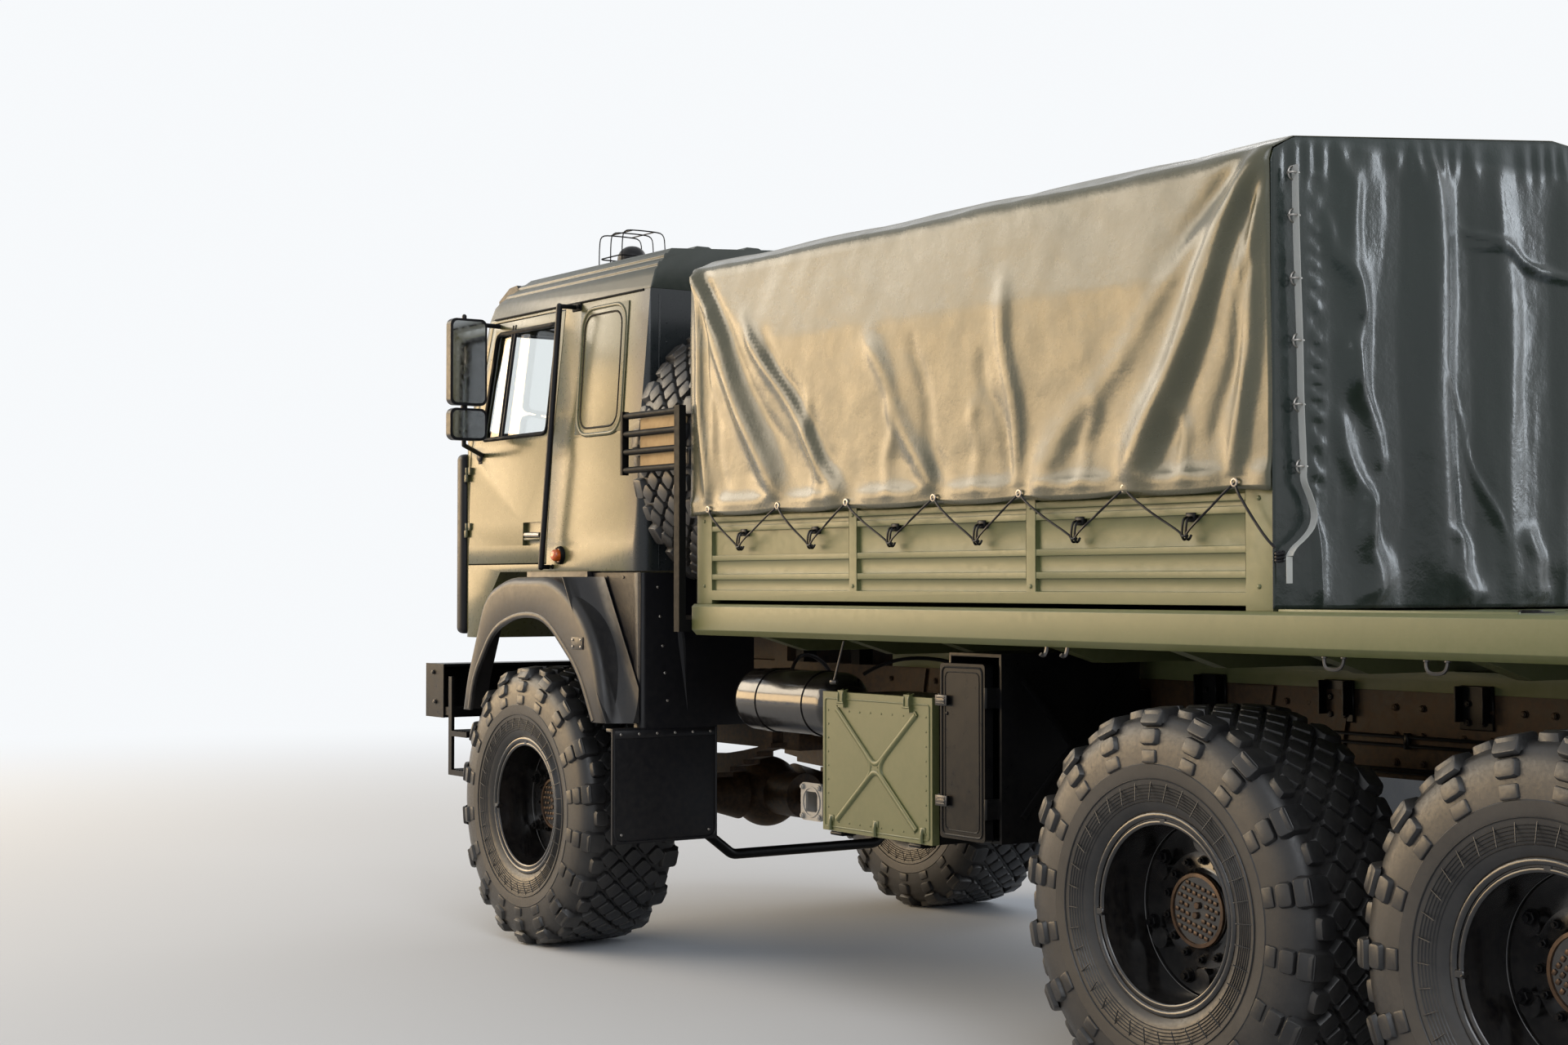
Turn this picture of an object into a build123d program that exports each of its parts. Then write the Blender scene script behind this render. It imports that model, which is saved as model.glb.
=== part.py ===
from build123d import *
import os
from math import atan2, cos, degrees, hypot, radians, sin

os.makedirs("parts", exist_ok=True)

# Places along the truck, X forward from the middle of its length, Y to its left, Z up from the ground
front_end_x = 4450
rear_end_x = -4450
front_axle_x = 3200
wheelbase = 4150
bogie_spacing = 1400
middle_axle_x = front_axle_x - wheelbase
rear_axle_x = middle_axle_x - bogie_spacing
bogie_x = (middle_axle_x + rear_axle_x) / 2
axle_x = {1: front_axle_x, 2: middle_axle_x, 3: rear_axle_x}
sides = {"left": 1, "right": -1}

# Wheels
tyre_radius = 630
tyre_width = 510
wheel_y = 1092
bead_radius = 290
flange_radius = 308
rim_wall = 18
rim_half = 210
tyre_fit = 0.3
crown_drop = 18
lug_count = 18
lug_half = 46
lug_tip_radius = hypot(tyre_radius, lug_half)
disc_u = 34
disc_wall = 16
boss_circle = 213
boss_radius = 34
boss_count = 6
hub_flange_radius = 176
hub_cap_radius = 116
hub_proud = 76

# Axles, springs and steering
axle_z = tyre_radius
axle_tube_radius = 78
differential_radius = 170
differential_length = 330
kingpin_y = 890
kingpin_radius = 26
yoke_half_height = 150
steer_arm_x = -330
steer_arm_y = -150
steer_arm_z = -70
tie_rod_radius = 24
tie_rod_drop = 120
joint_gap = 0.3
spring_y = 430
spring_width = 90
front_spring_length = 1500
front_spring_camber = 90
bogie_camber = 40
bogie_seat_z = 800
trunnion_z = 745
leaf_pack = 110
leaf_count = 5
leaf_step = 0.15
spring_seat_z = axle_z + axle_tube_radius + 14

# Chassis frame
rail_y = 430
rail_flange = 80
rail_z0 = 1010
rail_z1 = 1290
rail_wall = 10
rail_front_x = 4150
rail_rear_x = -4300
cross_tube_radius = 60
gusset_xs = (1450, 1180, -480, -820, -2600, -3000, -3600)
gusset_wall = 12
cross_tube_xs = (4000, 1250, 150, -560, bogie_x, -3100, -4100)

# Front bumper and steps
bumper_x0 = 4200
bumper_x1 = 4390
bumper_z0 = 976
bumper_z1 = 1240
bumper_half = 1240
step_x0 = 3952
step_x1 = 4150
step_y0 = 1055
step_zs = (700, 890)
tow_hole_radius = 20
tow_lug_y = 560
tow_lug_width = 40
tow_lug_wall = 12

# Engine, gearbox and shafts
engine = {"x0": 2450, "x1": 3640, "half": 320, "z0": 880, "z1": 1560}
transfer = {"x0": 350, "x1": 850, "half": 230, "z0": 690, "z1": 1180}
propshaft_radius = 45

# Platform and its boards
platform_front_x = 1805
platform_half = 1290
sill_z0 = 1427
sill_z1 = 1553
sill_width = 70
sill_wall = 8
sill_round = 22
floor_plate = 14
cargo_rear_x = -1400
bearer_height = 70
cross_beam_count = 11
cross_beam_width = 60
deck_edge_gap = 25
deck_strip_x = -2240
deck_strip_height = 7
bearer_front_x = 1600
beam_tip_depth = 58
beam_taper_y = 820
board_top_z = 1938
board_thickness = 40
board_outer_y = 1268
board_foot_z = 1568
board_bay_depth = 14
corner_post_width = 110
middle_post_width = 48
board_post_xs = (720, -285)
rib_height = 22
rib_zs = (1650, 1725, 1842, 1880)

# Canopy and its bows
canopy_front_x = 1815
canopy_rear_x = -1384
canopy_half = 1286
canopy_eave_z = 2896
canopy_shoulder_y = 1190
canopy_shoulder_z = 2948
canopy_ridge_z = 3062
canopy_wall = 10
canopy_hem_z = 1915
canopy_flap_z = 1574
bow_width = 40
bow_depth = 30
bow_count = 5
bow_seat = 0.3

# Cab
cab_front_x = 4060
cab_back_x = 2345
cab_half = 1215
cab_belt_tuck = 10
cab_gutter_tuck = 50
cab_belt_half = cab_half - cab_belt_tuck
cab_gutter_half = cab_half - cab_gutter_tuck
cab_crease_z = 1815
cab_belt_z = 2285
cab_gutter_z = 2905
cab_floor_z = 1690
cab_toe_z = 1376
roof_shoulder_tuck = 155
roof_shoulder_y = cab_half - roof_shoulder_tuck
roof_shoulder_z = cab_gutter_z + 180
roof_ridge_z = cab_gutter_z + 245
roof_edge_tuck = 22
roof_edge_rise = 80
roof_flat_x = 3300
roof_bend_x = 3640
roof_bend_z = roof_shoulder_z
roof_rib_ys = (900, 640, 380, 130)
roof_rib_half = 46
roof_rib_height = 9
roof_side_ribs = (0.28, 0.66)
toe_foot_x = 3850
toe_bend_x = 3790
toe_bend_z = 1540
toe_top_x = 3650
windscreen_foot_z = 2290
windscreen_foot_x = 4045
windscreen_top_x = 3850
windscreen_top_z = cab_gutter_z + 10
cab_wall = 36
cab_back_corner = 65
cab_front_corner = 80
door_gap = 6
door_top_z = cab_gutter_z - 25
door_front_low_x = 3985
door_front_top_x = 3815
door_rear_low_x = 3196
door_rear_top_x = 3100
door_bottom_z = cab_floor_z + cab_wall + 4
door_hinge_x = door_front_low_x + door_gap / 2
door_hinge_y = cab_half + 9
door_hinge_radius = 8.5
door_hinge_length = 34
door_hinge_reach = 30
door_hinge_zs = (1860, 2130)
door_cut_y0 = cab_half - 515
door_cut_y1 = cab_half + 185
handle_x0 = 3244
handle_x1 = 3422
handle_z0 = 1812
handle_z1 = 1919
handle_depth = 22
handle_radius = 9
door_window_sill_z = 2325
door_window_top_z = door_top_z - 18
screen_margin = 85
glass_wall = 6
glass_fit = 0.3
sleeper_x0 = 2515
sleeper_x1 = 2935
sleeper_z0 = 2300
sleeper_z1 = cab_gutter_z - 37
tilt_hinge_x = 4150
tilt_hinge_z = 1150
tilt_pin_radius = 17.7
tilt_pin_gap = 0.3
tilt_arm_y = 290
tilt_arm_width = 30
grille_z0 = 1372
grille_z1 = 2150
grille_half = cab_half - 125
grille_depth = 42

# Wheel arches of the cab
flare_outer_y = cab_half + 130
flare_round = 42
flare_foot_z = 1040
flare_wall = 14
flare_rise = 1035
flare_reach_front = 600
flare_reach_rear = 790
arch_rise = 851
arch_reach_front = 500
arch_reach_rear = 668
flare_rounds = [600, 250, 600, 520, 520]
arch_rounds = [300, 330, 600, 380, 520]
flare_seat_front = 150
flare_seat_rear = 420
flare_seat_width = 50
guard_x = front_axle_x - flare_reach_rear - 60
guard_round = 30
guard_gap = 5
sweep_radius = 130
flap_z0 = 530
flap_z1 = 1020
flap_y0 = 822
flap_wall = 12

# Spare wheel and its carrier
spare_y = 660
spare_z = 2180
spare_x = (cab_back_x + canopy_front_x) / 2
cradle_z = 1500
guard_bar_y = 1322
guard_bar_radius = 14
guard_bar_zs = (2112, 2188, 2264, 2340)

# Boxes and tanks under the platform
equipment = {"x0": 400, "x1": 1070, "y0": 760, "y1": 1116, "z0": 700, "z1": 1215}
equipment_lid_depth = 32
battery = {"x0": 0, "x1": 288, "y0": 521, "y1": 1160, "z0": 741, "z1": 1392}
battery_lid_depth = 36
battery_lid_x0 = 40
battery_lid_z0 = 745
battery_lid_z1 = 1356
box_wall = 12
lid_gap = 5
hinge_radius = 7.7
hinge_offset = 8
hinge_length = 70
air_tank = {"x0": 1110, "x1": 1776, "y": 1000, "z": 1164, "radius": 126}
fuel_tank = {"x0": 150, "x1": 1350, "y0": -1180, "y1": -620, "z0": 690, "z1": 1240}
hanger_wall = 16
latch_inset = 130
latch_half = 17
latch_proud = 14

# Rear end
rear_plate_x = rear_end_x + 40
lamp_back_x = rear_plate_x - 6
lamp_y0 = 960
lamp_y1 = 1240
lamp_z0 = 1290
lamp_z1 = 1400
tow_jaw_x = -4350
tow_jaw_z = 1090
tow_jaw_height = 70
tow_pin_radius = 24

# Mirrors
mirror_x = 3715
mirror_y = cab_half + 160
mirror_half = 95
mirror_depth = 58
mirror_round = 16
mirror_post_radius = 11
mirror_post_z0 = 2290
mirror_post_z1 = cab_gutter_z - 5
mirror_heads = ((2475, 2885), (2310, 2462))

# Lamps: each of the front ones with its distance from the middle, its radius and its depth
front_lamp_z0 = 1134
front_lamp_z1 = 1209
front_lamp_depth = 22
front_lamp_ys = ((900, 1120), (800, 885))
side_lamp_x = 3051
side_lamp_z = 1763
side_lamp_radius = 27
roof_lamp_y = 1050
roof_lamp_half = 48
beacon_x = 3300
beacon_y = 700
beacon_z = roof_ridge_z - 32
beacon_radius = 75

# Inside the cab
seat_y = 670
seat_half = 250
seat_back_x = 2600
seat_front_x = 3220
seat_back_depth = 120
cushion_z0 = 2000
cushion_z1 = 2140
seat_top_z = 2680
dash_half = cab_half - 95
steering_y = 620
steering_hub_x = 3460
steering_hub_z = 2260
steering_foot_x = 3720
steering_foot_z = 2060
steering_radius = 225


# Shapes

def block(x0, x1, y0, y1, z0, z1):
    low = (min(x0, x1), min(y0, y1), min(z0, z1))
    size = (abs(x1 - x0), abs(y1 - y0), abs(z1 - z0))
    return Pos(*low) * Box(*size, align=(Align.MIN, Align.MIN, Align.MIN))


def outline_face(points):
    return make_face(Polyline(*points, close=True))


# A prism along Y from an outline of (x, z) points
def prism_y(points, y0, y1):
    face = outline_face([(x, y0, z) for x, z in points])
    return extrude(face, amount=y1 - y0, dir=(0, 1, 0))


# A prism along X from an outline of (y, z) points
def prism_x(points, x0, x1):
    face = outline_face([(x0, y, z) for y, z in points])
    return extrude(face, amount=x1 - x0, dir=(1, 0, 0))


def rod(start, end, radius):
    along = Vector(*end) - Vector(*start)
    plane = Plane(origin=start, z_dir=along)
    return plane * Cylinder(radius, along.length, align=(Align.CENTER, Align.CENTER, Align.MIN))


def cross_cylinder(x, y0, y1, z, radius):
    return rod((x, y0, z), (x, y1, z), radius)


def mirrored(shape):
    return shape.mirror(Plane.XZ)


def both_sides(shape):
    return [shape, mirrored(shape)]


def fused(shapes):
    whole = shapes[0]
    for shape in shapes[1:]:
        whole = whole + shape
    return whole


def write(node, *shapes):
    solids = [solid for shape in shapes for solid in shape.solids()]
    export_step(Compound(children=solids), f"parts/{node}.step")


# Wheels

# A tyre about the Y axis, its outer side towards +Y
def tyre_shape():
    half = tyre_width / 2
    profile = [
        (bead_radius, -rim_half + 6),
        (flange_radius + tyre_fit, -rim_half + 6),
        (flange_radius + 4, -rim_half - 16),
        (bead_radius + 160, -half),
        (tyre_radius - 60, -half + 16),
        (tyre_radius - crown_drop, -half + 66),
        (tyre_radius - crown_drop, half - 66),
        (tyre_radius - 60, half - 16),
        (bead_radius + 160, half),
        (flange_radius + 4, rim_half + 16),
        (flange_radius + tyre_fit, rim_half - 6),
        (bead_radius, rim_half - 6),
    ]
    carcass = revolve(outline_face([(r, u, 0) for r, u in profile]), Axis.Y)
    section = [
        (tyre_radius - 34, half - 137), (tyre_radius, half - 129), (tyre_radius, half - 59),
        (tyre_radius - 36, half - 17), (tyre_radius - 58, half - 6), (tyre_radius - 116, half - 0.5),
        (tyre_radius - 125, half - 16), (tyre_radius - 50, half - 40),
    ]
    profile_face = outline_face([(r, u, -lug_half) for r, u in section])
    lug = extrude(profile_face, amount=2 * lug_half, dir=(0, 0, 1))
    pitch = 360 / lug_count
    lugs = []
    for index in range(lug_count):
        turned = Rot(Y=pitch * index + 90) * lug
        lugs.extend([turned, mirrored(turned)])
    return carcass + lugs


# A rim with its disc, studs' bosses and hub, about the Y axis, its outer side towards +Y
def rim_shape(with_hub=True):
    barrel_radius = bead_radius - tyre_fit
    inner = barrel_radius - rim_wall
    profile = [
        (inner, -rim_half - 8),
        (flange_radius, -rim_half - 8),
        (flange_radius, -rim_half + 2),
        (barrel_radius, -rim_half + 2),
        (barrel_radius, rim_half - 2),
        (flange_radius, rim_half - 2),
        (flange_radius, rim_half + 8),
        (inner, rim_half + 8),
        (inner, disc_u),
        (hub_flange_radius, disc_u),
        (hub_flange_radius, disc_u - disc_wall),
        (inner, disc_u - disc_wall),
    ]
    rim = revolve(outline_face([(r, u, 0) for r, u in profile]), Axis.Y)
    for index in range(boss_count):
        turn = radians(360 / boss_count * (index + 0.5))
        x, z = boss_circle * cos(turn), boss_circle * sin(turn)
        rim = rim + rod((x, disc_u - 2, z), (x, disc_u + 26, z), boss_radius)
    if with_hub:
        hub = [
            (0, -24),
            (hub_flange_radius + 2, -24),
            (hub_flange_radius + 2, disc_u + 16),
            (hub_cap_radius + 14, disc_u + 16),
            (hub_cap_radius, disc_u + 24),
            (hub_cap_radius, hub_proud - 8),
            (hub_cap_radius - 8, hub_proud),
            (0, hub_proud),
        ]
        rim = rim + revolve(outline_face([(r, u, 0) for r, u in hub]), Axis.Y)
    return rim


def on_wheel(shape, number, side):
    turned = shape if side == "left" else mirrored(shape)
    return Pos(axle_x[number], sides[side] * wheel_y, axle_z) * turned


def wheels():
    tyre = tyre_shape()
    rim = rim_shape()
    for number in axle_x:
        for side in sides:
            write(f"tyre_{number}_{side}", on_wheel(tyre, number, side))
            write(f"rim_{number}_{side}", on_wheel(rim, number, side))
    standing = Pos(spare_x, spare_y, spare_z) * Rot(Z=90)
    write("spare_tyre", standing * Rot(Y=180 / lug_count) * tyre)
    write("spare_rim", standing * rim_shape(with_hub=False))


# Axles and steering

hub_inner_y = wheel_y - 24


def axle_beam(x, half):
    tube = cross_cylinder(x, -half, half, axle_z, axle_tube_radius)
    ball = Pos(x, 0, axle_z) * Sphere(differential_radius)
    cones = [
        Pos(x, side * 250, axle_z) * Rot(X=-90 * side) * Cone(125, axle_tube_radius, 160)
        for side in (1, -1)
    ]
    nose = rod((x, 0, axle_z), (x - differential_length, 0, axle_z), 105)
    return fused([tube, ball, *cones, nose])


def axles():
    yoke_reach = kingpin_y - 78
    front = axle_beam(front_axle_x, yoke_reach)
    for side in (1, -1):
        for tip in (1, -1):
            z0 = axle_z + tip * (yoke_half_height - 44)
            z1 = axle_z + tip * yoke_half_height
            y0 = side * (yoke_reach - 30)
            front = front + block(front_axle_x - 48, front_axle_x + 48, y0, side * (kingpin_y + 42), z0, z1)
        back = block(
            front_axle_x - 48, front_axle_x + 48, side * (yoke_reach - 30), side * yoke_reach,
            axle_z - yoke_half_height, axle_z + yoke_half_height,
        )
        front = front + back
        pin = rod(
            (front_axle_x, side * kingpin_y, axle_z - yoke_half_height - 12),
            (front_axle_x, side * kingpin_y, axle_z - yoke_half_height),
            kingpin_radius + 12,
        )
        front = front + pin
    reach = hub_inner_y - joint_gap
    middle = axle_beam(middle_axle_x, reach)
    rear = axle_beam(rear_axle_x, reach)
    write("axles", front, middle, rear)


# The steered hub carrier with its arm, on the left
def knuckle_shape():
    z0 = axle_z - yoke_half_height + 44 + joint_gap
    z1 = axle_z + yoke_half_height - 44 - joint_gap
    drum = rod((front_axle_x, kingpin_y, z0), (front_axle_x, kingpin_y, z1), 62)
    spindle = cross_cylinder(front_axle_x, kingpin_y, hub_inner_y - joint_gap, axle_z, 92)
    tip = (front_axle_x + steer_arm_x, kingpin_y + steer_arm_y, axle_z + steer_arm_z)
    elbow = (front_axle_x - 130, kingpin_y, axle_z + steer_arm_z)
    root = (front_axle_x, kingpin_y, axle_z + steer_arm_z)
    arm = rod(root, elbow, 26) + Pos(*elbow) * Sphere(26) + rod(elbow, tip, 26)
    eye = rod((tip[0], tip[1], tip[2] - 34), (tip[0], tip[1], tip[2] + 34), 36)
    return fused([drum, spindle, arm, eye])


def steering():
    left = knuckle_shape()
    write("knuckle_left", left)
    write("knuckle_right", mirrored(left))
    x = front_axle_x + steer_arm_x
    end_y = kingpin_y + steer_arm_y
    z = axle_z + steer_arm_z - 34 - joint_gap - tie_rod_radius
    low_z = z - tie_rod_drop
    route = [
        (x, end_y + 26, z), (x, end_y - 170, z), (x, end_y - 330, low_z),
        (x, -end_y + 330, low_z), (x, -end_y + 170, z), (x, -end_y - 26, z),
    ]
    path = FilletPolyline(*route, radius=70)
    bar = sweep(Plane(origin=route[0], z_dir=(0, -1, 0)) * Circle(tie_rod_radius), path=path)
    write("tie_rod", bar)


# Springs

# A leaf pack as a low arch of steel, stepped below, its middle on the seat
def leaf_spring(middle_x, length, rise, y, seat_z):
    half = length / 2
    thick = leaf_pack / leaf_count
    stops = [half * (1 - leaf_step * index) for index in range(leaf_count)] + [0]
    arch = [(x, seat_z + leaf_pack + rise * (x / half) ** 2) for x in stops]
    steps = []
    for index in range(leaf_count):
        for x, z in arch[index:index + 2]:
            steps.append((x, z - thick * (index + 1)))
    right = arch[::-1] + steps
    left = [(-x, z) for x, z in right[::-1] if x > 0]
    return prism_y([(middle_x + x, z) for x, z in right + left], y - spring_width / 2, y + spring_width / 2)


def springs():
    front = leaf_spring(front_axle_x, front_spring_length, front_spring_camber, spring_y, spring_seat_z)
    seat = block(
        front_axle_x - 70, front_axle_x + 70, spring_y - 60, spring_y + 60,
        axle_z + 40, spring_seat_z + 2,
    )
    tube = cross_cylinder(front_axle_x, 0, 2 * spring_y, axle_z, axle_tube_radius + joint_gap)
    front = front + (seat - tube)
    half = front_spring_length / 2
    eye_z = spring_seat_z + leaf_pack + front_spring_camber
    for x in (front_axle_x - half + 40, front_axle_x + half - 40):
        leaf_z = eye_z - leaf_pack / leaf_count
        front = front + block(x - 30, x + 30, spring_y - 30, spring_y + 30, leaf_z, rail_z0)
    half = bogie_spacing / 2 + 80
    bogie = leaf_spring(bogie_x, 2 * half, -bogie_camber, spring_y, bogie_seat_z)
    saddle = block(
        bogie_x - 130, bogie_x + 130, spring_y - 60, spring_y + 60, trunnion_z - 70, bogie_seat_z + 2,
    )
    shaft = cross_cylinder(bogie_x, rail_y - rail_flange, spring_y, trunnion_z, 50)
    hanger = block(
        bogie_x - 110, bogie_x + 110, rail_y - rail_flange, spring_y - spring_width / 2 - 4,
        trunnion_z - 60, rail_z0,
    )
    bogie = fused([bogie, saddle, shaft, hanger])
    droop = bogie_camber * (bogie_spacing / 2 / half) ** 2
    slider_z = bogie_seat_z + leaf_pack * (1 - 1 / leaf_count) - droop
    for x in (middle_axle_x, rear_axle_x):
        slider = block(x - 60, x + 60, spring_y - 60, spring_y + 60, axle_z + 40, slider_z)
        bogie = bogie + (slider - cross_cylinder(x, 0, 2 * spring_y, axle_z, axle_tube_radius + joint_gap))
    write("springs", *both_sides(front), *both_sides(bogie))


# Chassis frame

def chassis_frame():
    inner = rail_y - rail_flange
    outline = [
        (inner, rail_z0), (rail_y, rail_z0), (rail_y, rail_z1), (inner, rail_z1),
        (inner, rail_z1 - rail_wall), (rail_y - rail_wall, rail_z1 - rail_wall),
        (rail_y - rail_wall, rail_z0 + rail_wall), (inner, rail_z0 + rail_wall),
    ]
    rail = prism_x(outline, rail_rear_x, rail_front_x)
    middle_z = (rail_z0 + rail_z1) / 2
    tubes = [
        cross_cylinder(x, -rail_y + rail_wall / 2, rail_y - rail_wall / 2, middle_z, cross_tube_radius)
        for x in cross_tube_xs
    ]
    rear = block(rail_rear_x - 20, rail_rear_x, -rail_y, rail_y, rail_z0 - 30, rail_z1)
    ear_y = tilt_arm_y + tilt_arm_width + 6
    bracket = block(
        rail_front_x - 190, rail_front_x, ear_y, rail_y - rail_wall / 2,
        tilt_hinge_z - 45, tilt_hinge_z + 45,
    )
    bracket = bracket + block(
        rail_front_x, tilt_hinge_x + 36, ear_y, ear_y + 36, tilt_hinge_z - 45, tilt_hinge_z + 45,
    )
    bracket = bracket + cross_cylinder(tilt_hinge_x, tilt_arm_y - 4, ear_y, tilt_hinge_z, tilt_pin_radius)
    post = block(
        cab_back_x + 40, cab_back_x + 140, rail_y - rail_flange, rail_y, rail_z1, cab_floor_z - joint_gap,
    )
    pairs = [*both_sides(rail), *both_sides(bracket), *both_sides(post)]
    for x in gusset_xs:
        web = prism_y(
            [(x - 95, rail_z1 - 4), (x - 55, rail_z0 + 70), (x + 55, rail_z0 + 70), (x + 95, rail_z1 - 4)],
            rail_y - 1, rail_y + gusset_wall,
        )
        pairs += both_sides(web)
    write("chassis_frame", fused([*pairs, *tubes, rear]))


# Front bumper, steps and towing lugs

def front_bumper():
    outline = [
        (bumper_x0, bumper_z0), (bumper_x1 - 30, bumper_z0), (bumper_x1, bumper_z0 + 30),
        (bumper_x1, bumper_z1 - 30), (bumper_x1 - 30, bumper_z1), (bumper_x0, bumper_z1),
        (bumper_x0, bumper_z1 - 14), (bumper_x1 - 36, bumper_z1 - 14), (bumper_x1 - 14, bumper_z1 - 36),
        (bumper_x1 - 14, bumper_z0 + 36), (bumper_x1 - 36, bumper_z0 + 14), (bumper_x0, bumper_z0 + 14),
    ]
    beam = prism_y(outline, -bumper_half, bumper_half)
    end_plate = block(bumper_x0 - 8, bumper_x1, bumper_half, bumper_half + 8, bumper_z0, bumper_z1)
    bracket = block(rail_front_x, bumper_x1 - 14, rail_y - 60, rail_y, bumper_z0 + 14, bumper_z1 - 14)
    lug_z = (bumper_z0 + bumper_z1) / 2
    lug = block(
        bumper_x1 - 10, front_end_x, tow_lug_y - tow_lug_width / 2, tow_lug_y + tow_lug_width / 2,
        lug_z - 50, lug_z + 50,
    )
    hole_x = front_end_x - tow_lug_wall - tow_hole_radius
    lug = lug - cross_cylinder(
        hole_x, tow_lug_y - tow_lug_width, tow_lug_y + tow_lug_width, lug_z, tow_hole_radius,
    )
    treads = [
        block(step_x0, step_x1, step_y0, bumper_half, z, z + 26)
        for z in step_zs
    ]
    hangers = [
        block(step_x1 - 34, step_x1, y - 8, y + 8, step_zs[0], bumper_z1 - 60)
        for y in (step_y0 + 8, bumper_half - 8)
    ]
    ties = block(step_x1 - 34, bumper_x0 + 10, step_y0, bumper_half, bumper_z0 + 14, bumper_z0 + 54)
    step = fused([*treads, *hangers, ties])
    side = fused([end_plate, bracket, lug, step])
    write("front_bumper", fused([beam, *both_sides(side)]))


# Engine, gearbox and shafts

def driveline():
    body = block(engine["x0"], engine["x1"], -engine["half"], engine["half"], engine["z0"], engine["z1"])
    radiator = block(engine["x1"] + 60, engine["x1"] + 150, -340, 340, engine["z0"], cab_toe_z - 30)
    neck = block(engine["x1"], engine["x1"] + 60, -120, 120, 1000, 1200)
    gearbox = block(engine["x0"] - 650, engine["x0"], -190, 190, engine["z0"] + 20, 1260)
    case = block(
        transfer["x0"], transfer["x1"], -transfer["half"], transfer["half"],
        transfer["z0"], transfer["z1"],
    )
    case_z = (transfer["z0"] + transfer["z1"]) / 2
    link = rod((transfer["x1"], 0, case_z + 60), (engine["x0"] - 650, 0, 1060), propshaft_radius)
    output_z = transfer["z0"] + 90
    nose_x = front_axle_x - differential_length
    to_front = rod((transfer["x1"], 0, output_z), (nose_x + 10, 0, axle_z), propshaft_radius)
    to_front = to_front - block(nose_x - joint_gap, nose_x + 40, -90, 90, axle_z - 90, axle_z + 90)
    to_middle = rod((transfer["x0"], 0, output_z), (middle_axle_x + 120, 0, axle_z), propshaft_radius)
    to_middle = to_middle - Pos(middle_axle_x, 0, axle_z) * Sphere(differential_radius + joint_gap)
    to_rear = rod(
        (middle_axle_x - differential_length, 0, axle_z),
        (rear_axle_x + differential_radius + joint_gap, 0, axle_z),
        propshaft_radius,
    )
    write("driveline", fused([body, radiator, neck, gearbox]), case, link, to_front, to_middle, to_rear)


# Boxes and tanks under the platform

def hollow_box(size, open_side):
    outer = block(size["x0"], size["x1"], size["y0"], size["y1"], size["z0"], size["z1"])
    inner_y1 = size["y1"] + (1 if open_side else -box_wall)
    inner = block(
        size["x0"] + box_wall, size["x1"] - box_wall, size["y0"] + box_wall, inner_y1,
        size["z0"] + box_wall, size["z1"] - box_wall,
    )
    return outer - inner


# Two crossed ribs pressed on a face, from half-spans along X and Z
def crossed_rib(cx, y0, y1, cz, half_x, half_z, width):
    run = hypot(half_x, half_z)
    turn = degrees(atan2(half_z, half_x))
    bars = [
        Pos(cx, (y0 + y1) / 2, cz) * Rot(Y=sign * turn) * Box(2 * run, y1 - y0, width)
        for sign in (1, -1)
    ]
    return bars[0] + bars[1]


def side_boxes():
    case = hollow_box(equipment, True)
    hanger_x = (equipment["x0"] + 90, equipment["x1"] - 90)
    hanger_z = rail_z0 + 40
    for x in hanger_x:
        case = case + block(x - 25, x + 25, rail_y, equipment["y0"], hanger_z, hanger_z + hanger_wall)
        case = case + block(x - 25, x + 25, rail_y, rail_y + hanger_wall, hanger_z, rail_z1 - 30)
        y, z = equipment["y1"] + lid_gap + equipment_lid_depth, equipment["z0"] - hinge_offset
        low_x, high_x = x - hinge_length / 2, x + hinge_length / 2
        leaf_y = equipment["y1"] - 26
        case = case + rod((low_x, y, z), (high_x, y, z), hinge_radius)
        case = case + block(low_x, high_x, leaf_y, y, z - hinge_radius, z - 2)
        case = case + block(
            low_x, high_x, leaf_y, equipment["y1"] - 6, z - hinge_radius, z + hinge_offset + 2,
        )
    well = hollow_box(battery, True)
    x, y = battery_lid_x0 - hinge_offset, battery["y1"] + lid_gap + battery_lid_depth
    for z in (battery_lid_z0 + 80, battery_lid_z1 - 80 - hinge_length):
        well = well + rod((x, y, z), (x, y, z + hinge_length), hinge_radius)
        well = well + block(x - hinge_radius, x - 2, battery["y1"] - 6, y, z, z + hinge_length)
        well = well + block(battery["x0"], x - 2, battery["y1"] - 6, battery["y1"], z, z + hinge_length)
    shelf = block(
        battery["x0"] + 40, battery["x1"] - 40, rail_y, battery["y0"] + 2, rail_z0 + 20, rail_z1 - 40,
    )
    ribs = Rot(Z=90) * crossed_rib(
        (battery["y0"] + battery["y1"]) / 2, -battery["x0"], -battery["x0"] + 8,
        (battery["z0"] + battery["z1"]) / 2, 230, 240, 22,
    )
    write("side_boxes", case, fused([well, shelf, ribs]))


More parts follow.
